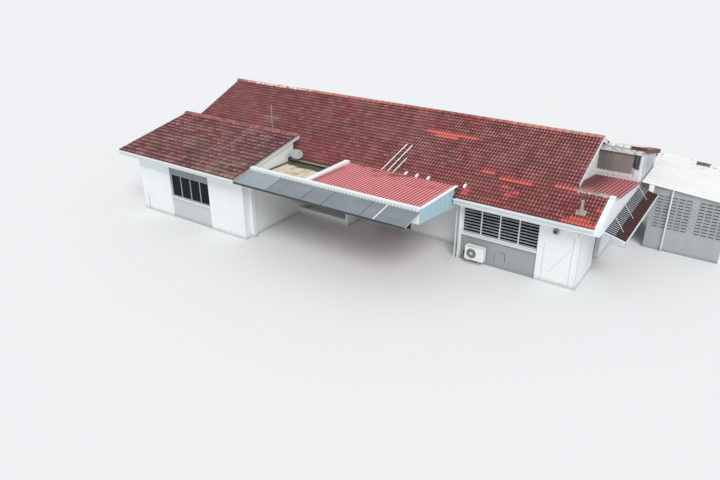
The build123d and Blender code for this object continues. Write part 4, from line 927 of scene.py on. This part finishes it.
# lamp rings as radius, near and far, and switch boxes as x range, z range, near and far, off the wall
lamp = {"x": 8.00, "z": 2.48, "rings": ((0.10, 0.0, 0.05), (0.13, 0.04, 0.095), (0.075, 0.09, 0.13))}
switchBoxes = [(8.76, 8.93, 2.42, 2.64, 0.0, 0.11), (8.775, 8.915, 2.435, 2.625, 0.10, 0.12),
               (8.98, 9.085, 2.45, 2.60, 0.0, 0.08)]


def lampBuild(shape):
    for radius, near, far in lamp["rings"]:
        disc(shape, (lamp["x"], wallFront - (near + far) / 2, lamp["z"]), radius, far - near, (0, 1, 0))


def switchBoxBuild(shape):
    boxes(shape, *[((x0, wallFront - far, z0), (x1, wallFront - near, z1))
                   for x0, x1, z0, z1, near, far in switchBoxes])


fitting("wallLamp", "appliance", looks["lampGrey"], 0.008, lampBuild)
fitting("switchBoxes", "appliance", looks["appliance"], 0.006, switchBoxBuild)

# air conditioner: grille rings and spokes, and two pipes to the wall
unitX, unitY, unitZ = acUnit[0]
fan = {"x": unitX + 0.325, "z": (unitZ + acUnit[1].z) / 2, "y": unitY - 0.004,
       "rings": (0.045, 0.09, 0.135, 0.18, 0.225), "ringPoints": 24, "spokes": 12}
coolingHeights = (0.20, 0.27)


def fanPoint(radius, angle, forward=0.0):
    return (fan["x"] + radius * math.cos(angle), fan["y"] - forward, fan["z"] + radius * math.sin(angle))


def turns(count):
    return [2 * math.pi * i / count for i in range(count + 1)]


grilleRoutes = [[fanPoint(r, a) for a in turns(fan["ringPoints"])] for r in fan["rings"]]
grilleRoutes += [[fanPoint(r, a, 0.004) for r in (fan["rings"][0], fan["rings"][-1])]
                 for a in turns(fan["spokes"])[:-1]]
pipeFitting("fanGrille", "appliance", looks["grilleGrey"], grilleRoutes, 0.005, bend=0.0, sides=5)
coolingRuns = [[(unitX + 0.01, unitY + 0.10, unitZ + h), (unitX - 0.11, unitY + 0.10, unitZ + h),
                (unitX - 0.13, recessFront - 0.01, unitZ + h + 0.05)] for h in coolingHeights]
pipeFitting("coolingPipes", "appliance", looks["darkFitting"], coolingRuns, 0.016)

# the dish's bracket on the cheek wall, as boxes from the wall's face
bracket = [((0.0, -3.86, 3.12), (0.025, -3.70, 3.30)), ((0.01, -3.80, 3.17), (0.06, -3.76, 3.25))]
fitting("dishBracket", "dish_metal", looks["darkFitting"], 0.004, lambda shape: boxes(shape, *[
    [(carportX0 + x, y, z) for x, y, z in corners] for corners in bracket]))

# joints of the awning's panels, one of them taped white
awningLines = {"fall": 0.22, "joints": (-3.66, -1.69, -0.60, 1.36), "jointWidth": 0.024, "jointLift": 0.004,
               "tape": 2.02, "tapeWidth": 0.055, "tapeLift": 0.006}
awningFall = awningLines["fall"] / (awning[1].y - awning[0].y)


def awningStrip(shape, x, width, lift):
    (y0, z0), (y1, z1) = [(y, awning[1].z - (awning[1].y - y) * awningFall)
                          for y in (awning[0].y + 0.02, awning[1].y - 0.01)]
    prism(shape, [(y0, z0 - 0.004), (y1, z1 - 0.004), (y1, z1 + lift), (y0, z0 + lift)], x - width / 2, x + width / 2)


fitting("awningJoints", "window_frame", looks["darkFitting"], 0.0, lambda shape: [
    awningStrip(shape, x, awningLines["jointWidth"], awningLines["jointLift"]) for x in awningLines["joints"]])
fitting("awningTape", "window_frame", looks["paleMetal"], 0.0, lambda shape: awningStrip(
    shape, awningLines["tape"], awningLines["tapeWidth"], awningLines["tapeLift"]))

# screws on the ribs of the carport's sheet, from its front edge up to its rear edge
screws = {"rows": 5, "inset": 0.25, "sink": 0.002, "rearHeight": 3.528}
screwHead = template("screwHead", lambda shape: bmesh.ops.create_cone(
    shape, cap_ends=True, segments=6, radius1=0.016, radius2=0.010, depth=0.014))
screwRun = carportRoof[1].y - carportRoof[0].y - 2 * screws["inset"]
screwStart = (carportRoof[0].x + carportStep / 2, carportRoof[0].y + screws["inset"], carportRoof[1].z - screws["sink"])
joined("roofScrews", [repeats(
    "roofScrews", screwHead, looks["greyPipe"], screwStart, (carportStep, 0, 0), ribs["carport"],
    (0, screwRun / (screws["rows"] - 1), -(carportRoof[1].z - screws["rearHeight"]) / (screws["rows"] - 1)),
    screws["rows"])], "red_sheet")

# straps round the front gutters
strap = {"gutter": 0.065, "inner": 0.066, "outer": 0.071, "half": 0.014, "bar": 0.005, "steps": 10, "spacing": 0.75}
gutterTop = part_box("gutters")[0].z + strap["gutter"]
gutterRuns = [(leftRoofBox[0].x + 0.25, leftRoofBox[1].x - 0.2, leftRoofBox[0].y - 0.09,
               gutterTop + leftEave - mainEave),
              (rightWall[0].x + 0.15, parapetX - 0.1, frontEaveY - 0.09, gutterTop)]


def strapBuild(shape):
    arc = [math.pi * (1 + i / strap["steps"]) for i in range(strap["steps"] + 1)]
    inner, outer = [[(strap[r] * math.cos(a), strap[r] * math.sin(a)) for a in arc] for r in ("inner", "outer")]
    prism(shape, inner + outer[::-1], -strap["half"], strap["half"])
    boxes(shape, ((-strap["half"], -strap["outer"], 0.0), (strap["half"], strap["outer"], strap["bar"])))


gutterStrap = template("gutterStrap", strapBuild)
strapMeshes = []
for start, end, y, z in gutterRuns:
    count = round((end - start) / strap["spacing"])
    strapMeshes.append(repeats("gutterStraps", gutterStrap, looks["paleMetal"], (start, y, z),
                               ((end - start) / count, 0, 0), count + 1))
joined("gutterStraps", strapMeshes, "white_metal")

# clips hold the two downpipes to the wall's end, and the left one ends in a shoe that lies on the ground
clip = {"pipe": 0.035, "radius": 0.052, "height": 0.03, "levels": (0.45, 1.45, 2.35)}
shoe = {"radius": 0.04, "top": 0.34, "reach": 0.62, "height": 0.05, "bend": 0.09}
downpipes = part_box("downpipes")
downpipeX = (downpipes[1].x - clip["pipe"], downpipes[0].x + clip["pipe"])


def clipBuild(shape):
    for x in downpipeX:
        for z in clip["levels"]:
            disc(shape, (x, wallFront, z), clip["radius"], clip["height"], segments=20)


fitting("downpipeClips", "white_pipe", looks["white_pipe"], 0.004, clipBuild)
shoeRoute = [(downpipeX[1], wallFront - reach, z) for reach, z in (
    (0.0, shoe["top"]), (0.01, shoe["height"]), (shoe["reach"], shoe["height"]))]
pipeFitting("downpipeShoe", "white_pipe", looks["white_pipe"], [shoeRoute], shoe["radius"], bend=shoe["bend"], sides=16)
print("fittings placed")
